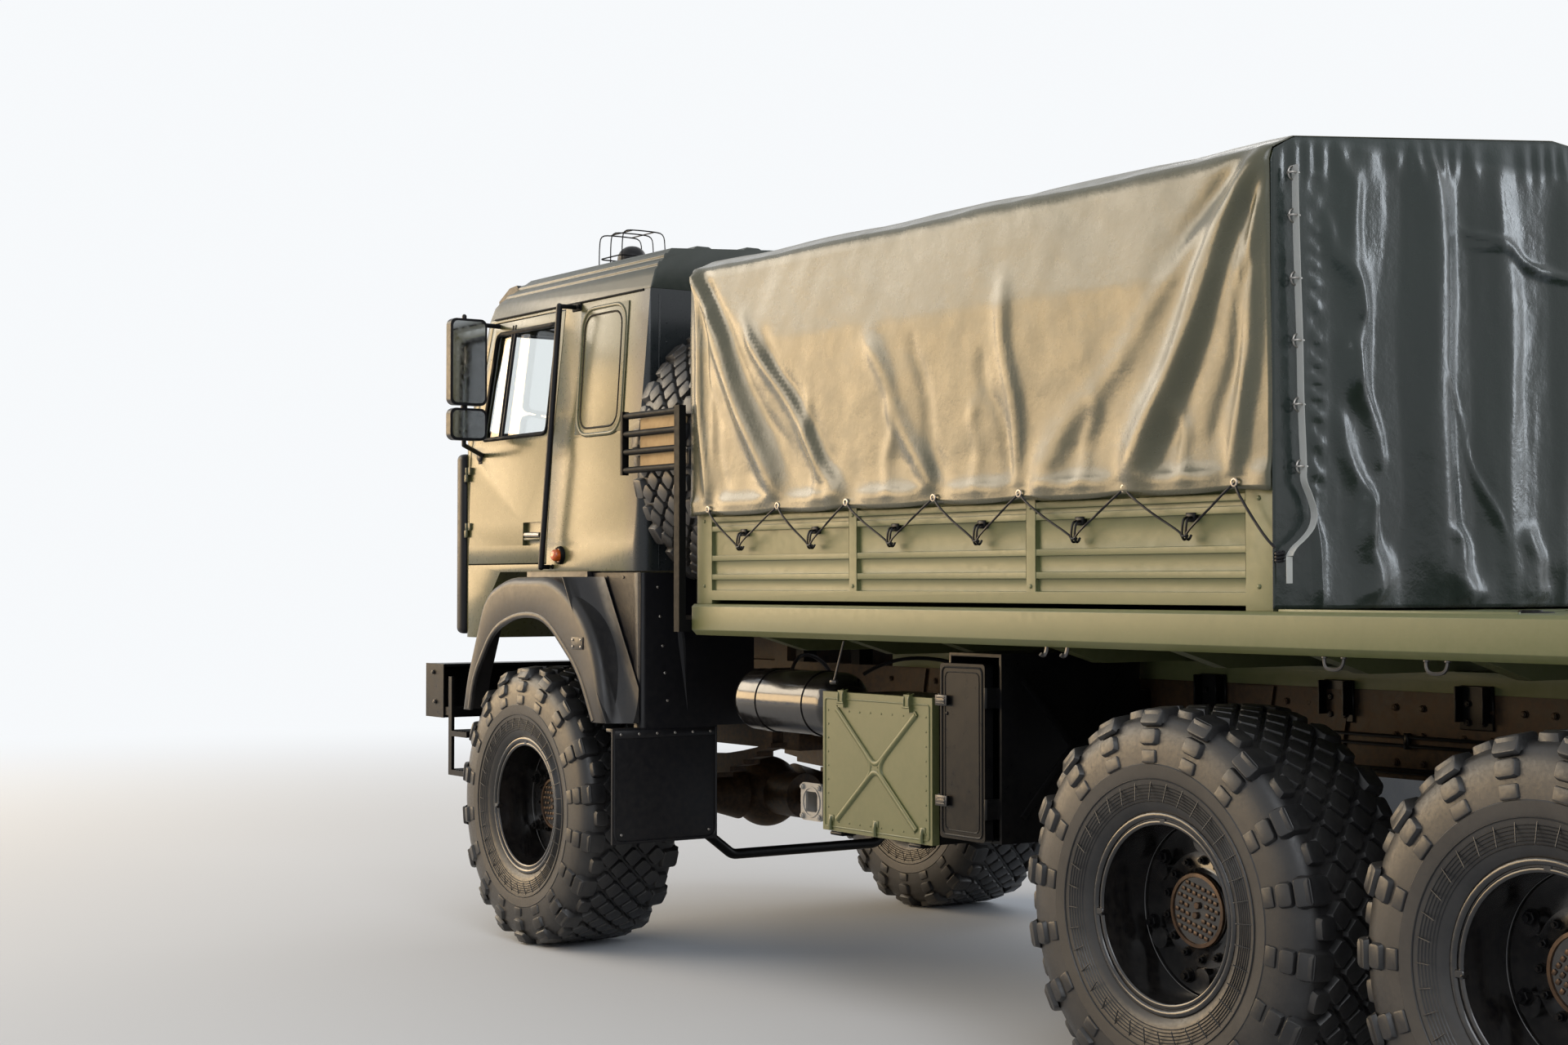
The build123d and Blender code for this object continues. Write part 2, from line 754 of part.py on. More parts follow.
def box_lids():
    y0 = equipment["y1"] + lid_gap
    y1 = y0 + equipment_lid_depth
    cx = (equipment["x0"] + equipment["x1"]) / 2
    cz = (equipment["z0"] + equipment["z1"]) / 2
    lid = block(equipment["x0"] - 4, equipment["x1"] + 4, y0, y1, equipment["z0"], equipment["z1"] + 10)
    inner = block(
        equipment["x0"] + 6, equipment["x1"] - 6, y0 - 1, y1 - 4, equipment["z0"] + 10, equipment["z1"],
    )
    lid = lid - inner
    lid = lid + crossed_rib(cx, y1 - 2, y1 + 6, cz, 250, 210, 20)
    for x in (equipment["x0"] + latch_inset, equipment["x1"] - latch_inset):
        lid = lid + block(
            x - latch_half, x + latch_half, y1 - 2, y1 + latch_proud,
            equipment["z1"] - 46, equipment["z1"] + 18,
        )
    write("equipment_lid", lid)
    y0 = battery["y1"] + lid_gap
    y1 = y0 + battery_lid_depth
    cover = block(battery_lid_x0, battery["x1"], y0, y1, battery_lid_z0, battery_lid_z1)
    cover = fillet(cover.edges().filter_by(Axis.Y), 14)
    inner = block(
        battery_lid_x0 + 5, battery["x1"] - 5, y0 - 1, y1 - 5, battery_lid_z0 + 5, battery_lid_z1 - 5,
    )
    cover = cover - inner
    for z in (battery_lid_z0 + latch_inset, battery_lid_z1 - latch_inset):
        cover = cover + block(
            battery["x1"] - 46, battery["x1"] + 6, y1 - 2, y1 + latch_proud, z - latch_half, z + latch_half,
        )
    write("battery_lid", cover)


def tanks():
    radius = air_tank["radius"]
    y, z = air_tank["y"], air_tank["z"]
    shell = rod((air_tank["x0"], y, z), (air_tank["x1"], y, z), radius)
    ends = shell.edges().filter_by(GeomType.CIRCLE)
    shell = fillet(ends, radius * 0.45)
    straps = []
    for x in (air_tank["x0"] + 170, air_tank["x1"] - 170):
        strap = rod((x - 18, y, z), (x + 18, y, z), radius + 4)
        strap = strap - rod((x - 20, y, z), (x + 20, y, z), radius)
        arm = block(x - 18, x + 18, rail_y, y - radius + 6, z - 20, z + 20)
        straps.append(strap + arm)
    tank = block(
        fuel_tank["x0"], fuel_tank["x1"], fuel_tank["y0"], fuel_tank["y1"],
        fuel_tank["z0"], fuel_tank["z1"],
    )
    tank = fillet(tank.edges().filter_by(Axis.X), 90)
    span = fuel_tank["x1"] - fuel_tank["x0"]
    for share in (0.2, 0.8):
        x = fuel_tank["x0"] + share * span
        tank = tank + block(x - 25, x + 25, fuel_tank["y1"] - 30, -rail_y, rail_z0 + 20, rail_z0 + 60)
    neck = rod(
        (fuel_tank["x1"] - 160, fuel_tank["y0"] + 130, fuel_tank["z1"] - 20),
        (fuel_tank["x1"] - 160, fuel_tank["y0"] + 130, fuel_tank["z1"] + 50), 55,
    )
    write("tanks", fused([shell, *straps]), tank + neck)


# Platform

def sill_outline():
    y0, y1 = platform_half - sill_width, platform_half
    return [
        (y0, sill_z0), (y1 - sill_round, sill_z0), (y1, sill_z0 + sill_round),
        (y1, sill_z1 - sill_round / 2), (y1 - sill_round / 2, sill_z1), (y0, sill_z1),
        (y0, sill_z1 - sill_wall), (y1 - sill_wall - 6, sill_z1 - sill_wall),
        (y1 - sill_wall, sill_z1 - sill_wall - 8), (y1 - sill_wall, sill_z0 + sill_round + 4),
        (y1 - sill_round - 2, sill_z0 + sill_wall), (y0, sill_z0 + sill_wall),
    ]


def platform():
    sill = prism_x(sill_outline(), rear_plate_x, platform_front_x)
    inner = platform_half - sill_width
    floor_z = sill_z1 - floor_plate
    floor = block(cargo_rear_x, platform_front_x - sill_wall, -inner, inner, floor_z, sill_z1)
    front = block(platform_front_x - sill_wall, platform_front_x, -inner, inner, sill_z0, sill_z1)
    rear = block(rear_plate_x, rear_plate_x + sill_wall, -inner, inner, sill_z0, sill_z1)
    bearer = block(
        rail_rear_x, bearer_front_x, rail_y - rail_flange, rail_y, rail_z1, rail_z1 + bearer_height,
    )
    foot_z, tip_z = rail_z1 + bearer_height, floor_z - beam_tip_depth
    half_beam = [(beam_taper_y, foot_z), (inner + 20, tip_z), (inner + 20, floor_z)]
    outline = half_beam + [(-y, z) for y, z in reversed(half_beam)]
    beams = []
    first, last = rear_end_x + 160, platform_front_x - 120
    for index in range(cross_beam_count):
        x = first + (last - first) * index / (cross_beam_count - 1)
        beams.append(prism_x(outline, x - cross_beam_width / 2, x + cross_beam_width / 2))
    edge = block(
        deck_strip_x, cargo_rear_x, platform_half - deck_edge_gap + 1, platform_half - sill_round / 2,
        sill_z1, sill_z1 + deck_strip_height,
    )
    parts = [sill, mirrored(sill), floor, front, rear, *both_sides(bearer), *beams, *both_sides(edge)]
    write("platform", fused(parts))


def rear_deck():
    inner = platform_half - sill_width
    x0 = rear_plate_x + sill_wall + joint_gap
    plate = block(x0, cargo_rear_x - joint_gap, -inner, inner, sill_z1 - floor_plate, sill_z1)
    write("rear_deck", plate)


def dropsides():
    y1 = board_outer_y
    y0 = y1 - board_thickness
    x0, x1 = canopy_rear_x + canopy_wall + 4, platform_front_x - 8
    board = block(x0, x1, y0, y1, board_foot_z, board_top_z)
    posts = [x0 + corner_post_width / 2, x1 - corner_post_width / 2, *board_post_xs]
    widths = [corner_post_width, corner_post_width, middle_post_width, middle_post_width]
    stops = sorted(zip(posts, widths))
    for (a, wa), (b, wb) in zip(stops[:-1], stops[1:]):
        low, high = a + wa / 2, b - wb / 2
        board = board - block(low, high, y1 - board_bay_depth, y1 + 1, board_foot_z + 40, board_top_z - 12)
        for z in rib_zs:
            board = board + block(low, high, y1 - board_bay_depth - 2, y1 - 2, z, z + rib_height)
    for x in (posts[0], posts[1]):
        board = board + block(x - 55, x + 55, y0, y1, sill_z1, board_foot_z)
    head = block(x1 - board_thickness, x1, -y0, y0, sill_z1, 2020)
    write("dropsides", board, mirrored(board), head)


# Canopy

# The canopy's cross section, drawn in by an even wall
def canopy_outline(wall, foot_z):
    half = canopy_half - wall
    return [
        (-half, foot_z), (-half, canopy_eave_z - wall * 0.4),
        (-canopy_shoulder_y, canopy_shoulder_z - wall), (0, canopy_ridge_z - wall),
        (canopy_shoulder_y, canopy_shoulder_z - wall),
        (half, canopy_eave_z - wall * 0.4), (half, foot_z),
    ]


def canopy():
    outer = prism_x(canopy_outline(0, canopy_hem_z), canopy_rear_x, canopy_front_x)
    inner = prism_x(
        canopy_outline(canopy_wall, canopy_hem_z - 1),
        canopy_rear_x + canopy_wall, canopy_front_x - canopy_wall,
    )
    flap = block(
        canopy_rear_x, canopy_rear_x + canopy_wall, -canopy_half, canopy_half, canopy_flap_z, canopy_hem_z,
    )
    write("canopy", (outer - inner) + flap)


def canopy_frame():
    front = canopy_front_x - canopy_wall - bow_seat
    rear = canopy_rear_x + canopy_wall + bow_seat
    outer = canopy_outline(canopy_wall + bow_seat, board_top_z)
    inner = canopy_outline(canopy_wall + bow_seat + bow_depth, board_top_z - 1)
    bows = []
    for index in range(bow_count):
        x = rear + (front - bow_width - rear) * index / (bow_count - 1)
        foot_x = min(x, platform_front_x - 8 - bow_width)
        bow = prism_x(outer, foot_x, foot_x + bow_width)
        bows.append(bow - prism_x(inner, foot_x - 1, foot_x + bow_width + 1))
    slats = []
    shoulders = [(side * canopy_shoulder_y, canopy_shoulder_z) for side in (1, -1)]
    for y, z in [(0, canopy_ridge_z), *shoulders]:
        top = z - canopy_wall - bow_seat - 12
        slats.append(block(rear, platform_front_x - 12, y - 20, y + 20, top - 24, top))
    write("canopy_frame", fused([*bows, *slats]))


# Cab

# The roof's side from its edge up to the shoulder, with its long pressed ribs
def roof_side():
    low_y, low_z = cab_gutter_half - roof_edge_tuck, cab_gutter_z + roof_edge_rise
    rise, tuck = roof_shoulder_z - low_z, low_y - roof_shoulder_y
    points = [(low_y, low_z, 0)]
    for share in roof_side_ribs:
        for step, proud in ((-0.10, 0), (-0.06, 6), (0.06, 6), (0.10, 0)):
            at = share + step
            points.append((low_y - tuck * at + proud, low_z + rise * at + proud, at))
    return points + [(roof_shoulder_y, roof_shoulder_z, 1)]


# The roof's top from the shoulder to the middle, with its ribs
def roof_crown():
    points = []
    for y in roof_rib_ys:
        z = roof_ridge_z - (roof_ridge_z - roof_shoulder_z) * y / roof_shoulder_y
        points += [(y + roof_rib_half, z - 3), (y + roof_rib_half - 14, z + roof_rib_height)]
        points += [(y - roof_rib_half + 14, z + roof_rib_height), (y - roof_rib_half, z + 3)]
    return points


# The cab's outer form drawn in by an even wall: its side outline crossed with its front outline
def cab_form(inset):
    side = [
        (cab_back_x + inset, cab_floor_z + inset),
        (cab_back_x + inset, roof_ridge_z + 5),
        (roof_flat_x, roof_ridge_z + 5 - inset),
        (roof_bend_x, roof_bend_z - inset),
        (windscreen_top_x - 10 - inset, windscreen_top_z + 50 - inset),
        (windscreen_top_x + 4 - inset, windscreen_top_z - inset * 0.5),
        (windscreen_foot_x - inset, windscreen_foot_z),
        (cab_front_x - inset, windscreen_foot_z - 90),
        (cab_front_x - inset, cab_toe_z + inset),
        (toe_foot_x + inset * 0.4, cab_toe_z + inset),
        (toe_bend_x + inset * 0.4, toe_bend_z + inset),
        (toe_top_x + inset * 0.4, cab_floor_z + inset),
    ]
    half = [
        (cab_half - inset, cab_toe_z - 10),
        (cab_half - inset, cab_crease_z),
        (cab_belt_half - inset, cab_belt_z),
        (cab_gutter_half - inset, cab_gutter_z),
    ]
    half += [(y - inset, z - inset * share) for y, z, share in roof_side()]
    half += [(y, z - inset) for y, z in roof_crown()]
    front = half + [(0, roof_ridge_z - inset)] + [(-y, z) for y, z in reversed(half)]
    form = prism_y(side, -cab_half - 10, cab_half + 10) & prism_x(front, cab_back_x - 5, cab_front_x + 5)
    return form


def corner_cut(radius_back, radius_front, inset):
    x0, x1 = cab_back_x + inset, cab_front_x - inset
    half = cab_half - inset
    back, ahead = max(radius_back - inset, 8), max(radius_front - inset, 8)
    face = Plane.XY.offset(cab_toe_z - 20) * (Pos((x0 + x1) / 2, 0) * Rectangle(x1 - x0, 2 * half))
    plan = extrude(face, amount=roof_ridge_z - cab_toe_z + 60)
    upright = plan.edges().filter_by(Axis.Z)
    plan = fillet(upright.group_by(Axis.X)[0], back)
    upright = plan.edges().filter_by(Axis.Z)
    return fillet(upright.group_by(Axis.X)[-1], ahead)


def cab_envelope(inset):
    return cab_form(inset) & corner_cut(cab_back_corner, cab_front_corner, inset)


def door_outline(grow):
    return [
        (door_rear_low_x - grow, door_bottom_z - grow),
        (door_rear_top_x - grow, door_top_z + grow),
        (door_front_top_x + grow, door_top_z + grow),
        (door_front_low_x + grow, windscreen_foot_z - 60),
        (door_front_low_x + grow, door_bottom_z - grow),
    ]


def door_window_outline(margin):
    z0 = door_window_sill_z - margin
    z1 = door_window_top_z - 35 + margin
    return [
        (door_rear_low_x + 20 - margin, z0), (door_rear_top_x + 65 - margin, z1),
        (door_front_top_x - 48 + margin, z1), (door_front_low_x - 118 + margin, z0),
    ]


def screen_outline(margin):
    low, high = windscreen_foot_z + 70, windscreen_top_z - 70
    half_low, half_high = cab_belt_half - screen_margin, cab_gutter_half - screen_margin
    return [
        (-half_low - margin, low - margin), (half_low + margin, low - margin),
        (half_high + margin, high + margin), (-half_high - margin, high + margin),
    ]


# A hinge's barrel with its leaf, which runs ahead or back from the door's axis
def door_hinge(z0, ahead):
    z1 = z0 + door_hinge_length
    barrel = rod((door_hinge_x, door_hinge_y, z0), (door_hinge_x, door_hinge_y, z1), door_hinge_radius)
    leaf = block(
        door_hinge_x, door_hinge_x + ahead * door_hinge_reach, cab_half - cab_wall / 2, door_hinge_y,
        z0, z1,
    )
    return barrel + leaf


# The handle's recess pressed into the door, with its lever across the lower part
def door_handle(door):
    floor_y = cab_half - handle_depth
    door = door - block(handle_x0, handle_x1, floor_y, cab_half + 5, handle_z0, handle_z1)
    lever_z, lever_y = handle_z0 + 30, cab_half - handle_radius
    lever = rod((handle_x0 + 12, lever_y, lever_z), (handle_x1 - 12, lever_y, lever_z), handle_radius)
    for x in (handle_x0 + 30, handle_x1 - 30):
        lever = lever + cross_cylinder(x, floor_y - 4, lever_y, lever_z, handle_radius - 2)
    return door + lever


def cab():
    outer = cab_envelope(0)
    inner = cab_envelope(cab_wall)
    wall = outer - inner
    above = block(
        cab_back_x - 20, cab_front_x + 20, -door_cut_y1, door_cut_y1, cab_gutter_z, roof_ridge_z + 100,
    )
    roof = wall & above
    lower = wall - above
    doorway = prism_y(door_outline(door_gap), door_cut_y0, door_cut_y1)
    shell = lower - doorway - mirrored(doorway)
    screen = prism_x(screen_outline(0), toe_top_x, cab_front_x + 20)
    shell = shell - screen
    window = prism_y(door_window_outline(0), door_cut_y0, door_cut_y1)
    door_prism = prism_y(door_outline(0), door_cut_y0, door_cut_y1)
    door = (lower & door_prism) - window
    for z in door_hinge_zs:
        door = door + door_hinge(z + door_hinge_length + joint_gap, -1)
    door = door_handle(door)
    skins = cab_envelope(cab_wall / 2 - glass_wall / 2) - cab_envelope(cab_wall / 2 + glass_wall / 2)
    door_glass = skins & prism_y(door_window_outline(-glass_fit), door_cut_y0, door_cut_y1)
    screen_glass = skins & prism_x(screen_outline(-glass_fit), toe_top_x, cab_front_x + 20)
    foot_z = cab_toe_z + 10 - tilt_hinge_z
    arm_outline = [(-240, foot_z), (-150, foot_z), (-20, 60), (28, 20), (28, -28), (-28, -28), (-60, 20)]
    arm = prism_y(
        [(tilt_hinge_x + x, tilt_hinge_z + z) for x, z in arm_outline],
        tilt_arm_y, tilt_arm_y + tilt_arm_width,
    )
    arm = arm - cross_cylinder(
        tilt_hinge_x, tilt_arm_y - 10, tilt_arm_y + 50, tilt_hinge_z, tilt_pin_radius + tilt_pin_gap,
    )
    panel = block(
        sleeper_x0, sleeper_x1, cab_gutter_half - 40, cab_half + 40, sleeper_z0, sleeper_z1,
    )
    press = (cab_envelope(-6) - cab_envelope(4)) & panel
    fixed = [leaf for z in door_hinge_zs for leaf in both_sides(door_hinge(z, 1))]
    shell = fused([shell, *both_sides(arm), *both_sides(press), *fixed])
    write("cab_shell", shell)
    write("cab_roof", roof)
    write("cab_glass", screen_glass)
    write("door_left", door)
    write("door_right", mirrored(door))
    write("door_glass_left", door_glass)
    write("door_glass_right", mirrored(door_glass))


def grille():
    frame_wall = 40
    x0, x1 = cab_front_x + 0.3, cab_front_x + grille_depth
    rim = block(x0, x1, -grille_half, grille_half, grille_z0, grille_z1)
    rim = rim - block(
        x0 + 8, x1 + 1, -grille_half + frame_wall, grille_half - frame_wall,
        grille_z0 + frame_wall, grille_z1 - frame_wall,
    )
    bar_count = 7
    span = grille_z1 - grille_z0 - 2 * frame_wall
    for index in range(bar_count):
        z = grille_z0 + frame_wall + span * (index + 0.5) / bar_count
        rim = rim + block(x0 + 6, x1 - 6, -grille_half + 20, grille_half - 20, z - 18, z + 18)
    write("grille", rim)


# The arch of one flare: its foot ahead, over the wheel and down behind, each corner with its own radius
def arch_outline(rise, reach_front, reach_rear, foot_z, rounds):
    ahead, behind = front_axle_x + reach_front, front_axle_x - reach_rear
    return FilletPolyline(
        (ahead, 0, foot_z), (ahead - 40, 0, foot_z + 150), (ahead - 230, 0, axle_z + rise - 70),
        (ahead - 460, 0, axle_z + rise), (behind + 440, 0, axle_z + rise),
        (behind + 130, 0, axle_z + rise - 230), (behind, 0, foot_z),
        radius=rounds,
    )


# The arch as a solid from y0 to y1, its outer edge rounded
def arch_solid(rise, reach_front, reach_rear, foot_z, y0, y1, rounds, edge_round=0):
    top = arch_outline(rise, reach_front, reach_rear, foot_z, rounds)
    foot = Line(top @ 1, top @ 0)
    face = make_face([*top.edges(), foot])
    solid = extrude(Pos(0, y0, 0) * face, amount=y1 - y0, dir=(0, 1, 0))
    if edge_round:
        over_foot = solid.edges().filter_by(lambda edge: edge.center().Z > foot_z + 1)
        solid = fillet(over_foot.group_by(Axis.Y)[-1], edge_round)
    return solid


# The hollow sweep behind a flare, from its rear edge in to the cab's side
def fender_sweep(inner_y):
    foot_x, top_z = front_axle_x - flare_reach_rear, axle_z + flare_rise
    run_x, run_z = 350, top_z - 65 - flare_foot_z
    length = hypot(run_x, run_z)
    out_x, out_z = -run_z / length * sweep_radius, run_x / length * sweep_radius
    low = (foot_x - 0.2 * run_x, flare_foot_z - 0.2 * run_z)
    high = (foot_x + 1.3 * run_x, flare_foot_z + 1.3 * run_z)
    strip = prism_y(
        [low, high, (high[0] + out_x, high[1] + out_z), (low[0] + out_x, low[1] + out_z)],
        inner_y, inner_y + sweep_radius - 0.5,
    )
    round_cut = rod(
        (low[0] + out_x, inner_y + sweep_radius, low[1] + out_z),
        (high[0] + out_x, inner_y + sweep_radius, high[1] + out_z), sweep_radius - 3,
    )
    room = block(guard_x, front_axle_x, inner_y, flare_outer_y, flare_foot_z, top_z)
    return (strip & room) - round_cut


def fender_flares():
    inner_y = cab_half + 0.3
    outer = arch_solid(
        flare_rise, flare_reach_front, flare_reach_rear, flare_foot_z, inner_y, flare_outer_y,
        flare_rounds, flare_round,
    )
    opening = arch_solid(
        arch_rise, arch_reach_front, arch_reach_rear, flare_foot_z - 1, inner_y - 1, flare_outer_y + 1,
        arch_rounds,
    )
    hollow = arch_solid(
        flare_rise - flare_wall, flare_reach_front - flare_wall, flare_reach_rear - flare_wall,
        flare_foot_z - 1, inner_y - 1, flare_outer_y - flare_wall, flare_rounds, flare_round - flare_wall,
    )
    outer = outer + fender_sweep(inner_y)
    top_z = axle_z + flare_rise
    seat = block(
        front_axle_x - flare_seat_rear, front_axle_x + flare_seat_front, cab_half - flare_seat_width,
        inner_y + flare_wall, top_z - flare_wall, cab_floor_z - joint_gap,
    )
    write("fender_flares", *both_sides((outer - opening - hollow) + seat))


def mudguards():
    x0 = guard_x
    x1 = front_axle_x - flare_reach_rear - 6
    corner = block(x0, x1, rail_y + 200, cab_half - guard_gap, flap_z1, cab_floor_z - 8)
    rear_edge = corner.edges().filter_by(Axis.Z).group_by(Axis.X)[0].sort_by(Axis.Y)[-1]
    corner = fillet(rear_edge, guard_round)
    room = block(
        x0 + flap_wall, x1 + 1, rail_y + 199, cab_half - guard_gap - flap_wall, flap_z1 - 1, cab_floor_z,
    )
    panel = corner - room
    ledge = block(x0, x1, flap_y0, flare_outer_y, flap_z1 - 14, flap_z1)
    flap = block(x0, x0 + flap_wall, flap_y0, flare_outer_y, flap_z0, flap_z1)
    bracket = block(x0, x0 + 40, rail_y, rail_y + 210, rail_z1 - 90, rail_z1 - 30)
    write("mudguards", *both_sides(fused([panel, ledge, flap, bracket])))


# Outside rails, mirrors and the beacon in its cage

def grab_rail():
    y = cab_half + 38
    rail_top = (door_rear_top_x - 100, y, cab_gutter_z - 20)
    rail_foot = (door_rear_low_x - 28, y, cab_floor_z + 20)
    bar = rod(rail_foot, rail_top, 14) + Pos(*rail_top) * Sphere(14) + Pos(*rail_foot) * Sphere(14)
    top_arm = cross_cylinder(rail_top[0], cab_gutter_half - 30, y, rail_top[2], 9)
    foot_arm = cross_cylinder(rail_foot[0], cab_half - 30, y, rail_foot[2], 9)
    return fused([bar, top_arm, foot_arm]) - cab_envelope(-joint_gap)


def roof_beacon():
    x, y, z = beacon_x, beacon_y, beacon_z
    base = rod((x, y, z - 60), (x, y, z + 22), beacon_radius)
    dome = rod((x, y, z + 22), (x, y, z + 120), beacon_radius - 5)
    dome = fillet(dome.edges().filter_by(GeomType.CIRCLE).sort_by(Axis.Z)[-1], beacon_radius - 10)
    return (base + dome) - cab_envelope(-joint_gap)


# A wedge lamp over each end of the windscreen
def roof_lamp():
    x, z = windscreen_top_x, windscreen_top_z
    outline = [
        (x + 46, z + 70), (x + 50, z + 92), (x - 60, z + 146), (x - 136, z + 152), (x - 154, z + 130),
        (x - 154, z + 60), (x, z + 20),
    ]
    wedge = prism_y(outline, roof_lamp_y - roof_lamp_half, roof_lamp_y + roof_lamp_half)
    return wedge - cab_envelope(-joint_gap)


def cab_fittings():
    write("cab_fittings", *both_sides(grab_rail()), *both_sides(roof_lamp()), roof_beacon())


# A round lens on its bezel at each side of the cab, and the flat lamps across the bumper
def lamps():
    y0 = cab_half + joint_gap
    bezel = cross_cylinder(side_lamp_x, y0, y0 + 14, side_lamp_z, side_lamp_radius + 9)
    lens = cross_cylinder(side_lamp_x, y0 + 12, y0 + 46, side_lamp_z, side_lamp_radius)
    lens = fillet(lens.edges().filter_by(GeomType.CIRCLE).sort_by(Axis.Y)[-1], side_lamp_radius - 8)
    write("side_lamps", *both_sides(bezel + lens))
    x0 = bumper_x1 + joint_gap
    fronts = []
    for lamp_y0, lamp_y1 in front_lamp_ys:
        lamp = block(x0, x0 + front_lamp_depth, lamp_y0, lamp_y1, front_lamp_z0, front_lamp_z1)
        lamp = fillet(lamp.edges().filter_by(Axis.X), 14)
        fronts.append(fillet(lamp.faces().sort_by(Axis.X)[-1].edges(), 8))
    write("front_lamps", *[lamp for front in fronts for lamp in both_sides(front)])


def mirrors():
    x, y, radius = mirror_x, mirror_y, mirror_post_radius
    low, high = (x, y, mirror_post_z0), (x, y, mirror_post_z1)
    post = rod(low, high, radius) + Pos(*low) * Sphere(radius) + Pos(*high) * Sphere(radius)
    low_arm = rod((x + 165, cab_belt_half - 30, mirror_post_z0 - 45), low, radius)
    high_arm = rod((x + 45, cab_gutter_half - 20, mirror_post_z1 - 32), (x, y, mirror_post_z1 - 32), radius)
    arms = (low_arm + high_arm) - cab_envelope(-joint_gap)
    heads = []
    for z0, z1 in mirror_heads:
        head = block(x + 8 - mirror_depth, x + 8, y - mirror_half, y + mirror_half, z0, z1)
        head = fillet(head.edges().filter_by(Axis.X), 2 * mirror_round)
        heads.append(fillet(head.edges().group_by(Axis.X)[-1], mirror_round))
    mirror = fused([post, arms, *heads])
    write("mirror_left", mirror)
    write("mirror_right", mirrored(mirror))


def cab_interior():
    seats = []
    for side in (1, -1):
        y0, y1 = side * (seat_y - seat_half), side * (seat_y + seat_half)
        cushion = block(seat_back_x + seat_back_depth - 20, seat_front_x, y0, y1, cushion_z0, cushion_z1)
        back = block(seat_back_x, seat_back_x + seat_back_depth, y0, y1, cushion_z0, seat_top_z)
        base = block(
            seat_back_x + seat_back_depth + 40, seat_front_x - 60, side * (seat_y - seat_half + 80),
            side * (seat_y + seat_half - 80), cab_floor_z + cab_wall, cushion_z0,
        )
        seats.append(fused([cushion, back, base]))
    panel = prism_y(
        [
            (cab_front_x - cab_wall - joint_gap, 1900), (cab_front_x - cab_wall - joint_gap, 2190),
            (cab_front_x - cab_wall - 34, 2240), (3760, 2270), (3640, 2180), (3700, 1980),
        ],
        -dash_half, dash_half,
    )
    foot = (steering_foot_x, steering_y, steering_foot_z)
    hub = (steering_hub_x, steering_y, steering_hub_z)
    column = rod(foot, hub, 26)
    facing = Plane(origin=hub, z_dir=Vector(*hub) - Vector(*foot))
    ring = facing * Torus(steering_radius, 15)
    spokes = facing * Box(40, 2 * steering_radius - 10, 14)
    write("seats", *seats)
    write("dashboard", fused([panel, column, ring, spokes]))


# Spare wheel carrier

def spare_carrier():
    x0, x1 = platform_front_x + 30, cab_back_x - 30
    beams = [
        block(x - 30, x + 30, -rail_y, spare_y + 380, cradle_z - 60, cradle_z)
        for x in (x0 + 30, x1 - 30)
    ]
    tie = block(x0, x1, spare_y + 300, spare_y + 380, cradle_z - 60, cradle_z)
    tie_in = block(x0, x1, spare_y - 330, spare_y - 250, cradle_z - 60, cradle_z)
    rests = []
    for sign in (1, -1):
        reach = 300
        rest_z = spare_z - (tyre_radius ** 2 - reach ** 2) ** 0.5
        y = spare_y + sign * reach
        rests.append(block(x0 + 60, x1 - 60, y - 30, y + 30, cradle_z - 60, rest_z + 10))
    round_tyre = rod((x0, spare_y, spare_z), (x1, spare_y, spare_z), lug_tip_radius + joint_gap)
    rests = [rest - round_tyre for rest in rests]
    posts = [
        block(x - 30, x + 30, side * rail_y - side * 70, side * rail_y, rail_z1, cradle_z - 60)
        for x in (x0 + 30, x1 - 30)
        for side in (1, -1)
    ]
    upright = block(
        x0 - 10, x0 + 30, guard_bar_y - 16, guard_bar_y + 16, cradle_z - 60, guard_bar_zs[-1] + 20,
    )
    foot = block(x0 - 10, x0 + 30, spare_y + 300, guard_bar_y + 16, cradle_z - 60, cradle_z - 10)
    bars = [
        rod((x0, guard_bar_y, z), (cab_back_x - 40, guard_bar_y, z), guard_bar_radius)
        for z in guard_bar_zs
    ]
    end = block(
        cab_back_x - 60, cab_back_x - 44, guard_bar_y - 16, guard_bar_y + 16,
        guard_bar_zs[0] - 20, guard_bar_zs[-1] + 20,
    )
    write("spare_carrier", fused([*beams, tie, tie_in, *rests, *posts, upright, foot, *bars, end]))


# Rear lamps and towing jaw

def rear_end():
    lamps = block(rear_end_x, lamp_back_x, lamp_y0, lamp_y1, lamp_z0, lamp_z1)
    arm = block(lamp_back_x, rear_plate_x, lamp_y0 + 40, lamp_y1 - 40, lamp_z0, sill_z0 + 60)
    write("rear_lamps", *both_sides(lamps + arm))
    z0, z1 = tow_jaw_z - tow_jaw_height / 2, tow_jaw_z + tow_jaw_height / 2
    jaw = block(tow_jaw_x - 80, rail_rear_x - 20, -75, 75, z0, z1)
    jaw = jaw - rod((tow_jaw_x - 20, 0, z0 - 5), (tow_jaw_x - 20, 0, z1 + 5), tow_pin_radius)
    write("tow_coupling", jaw)


wheels()
axles()
steering()
springs()
chassis_frame()
front_bumper()
driveline()
side_boxes()
box_lids()
tanks()
platform()
rear_deck()
dropsides()
canopy()
canopy_frame()
cab()
grille()
fender_flares()
mudguards()
cab_fittings()
lamps()
mirrors()
cab_interior()
spare_carrier()
rear_end()
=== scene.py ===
import bpy
import bmesh
import random
from math import atan2, ceil, cos, exp, hypot, pi, radians, sin, tau
from mathutils import Matrix, Vector, noise


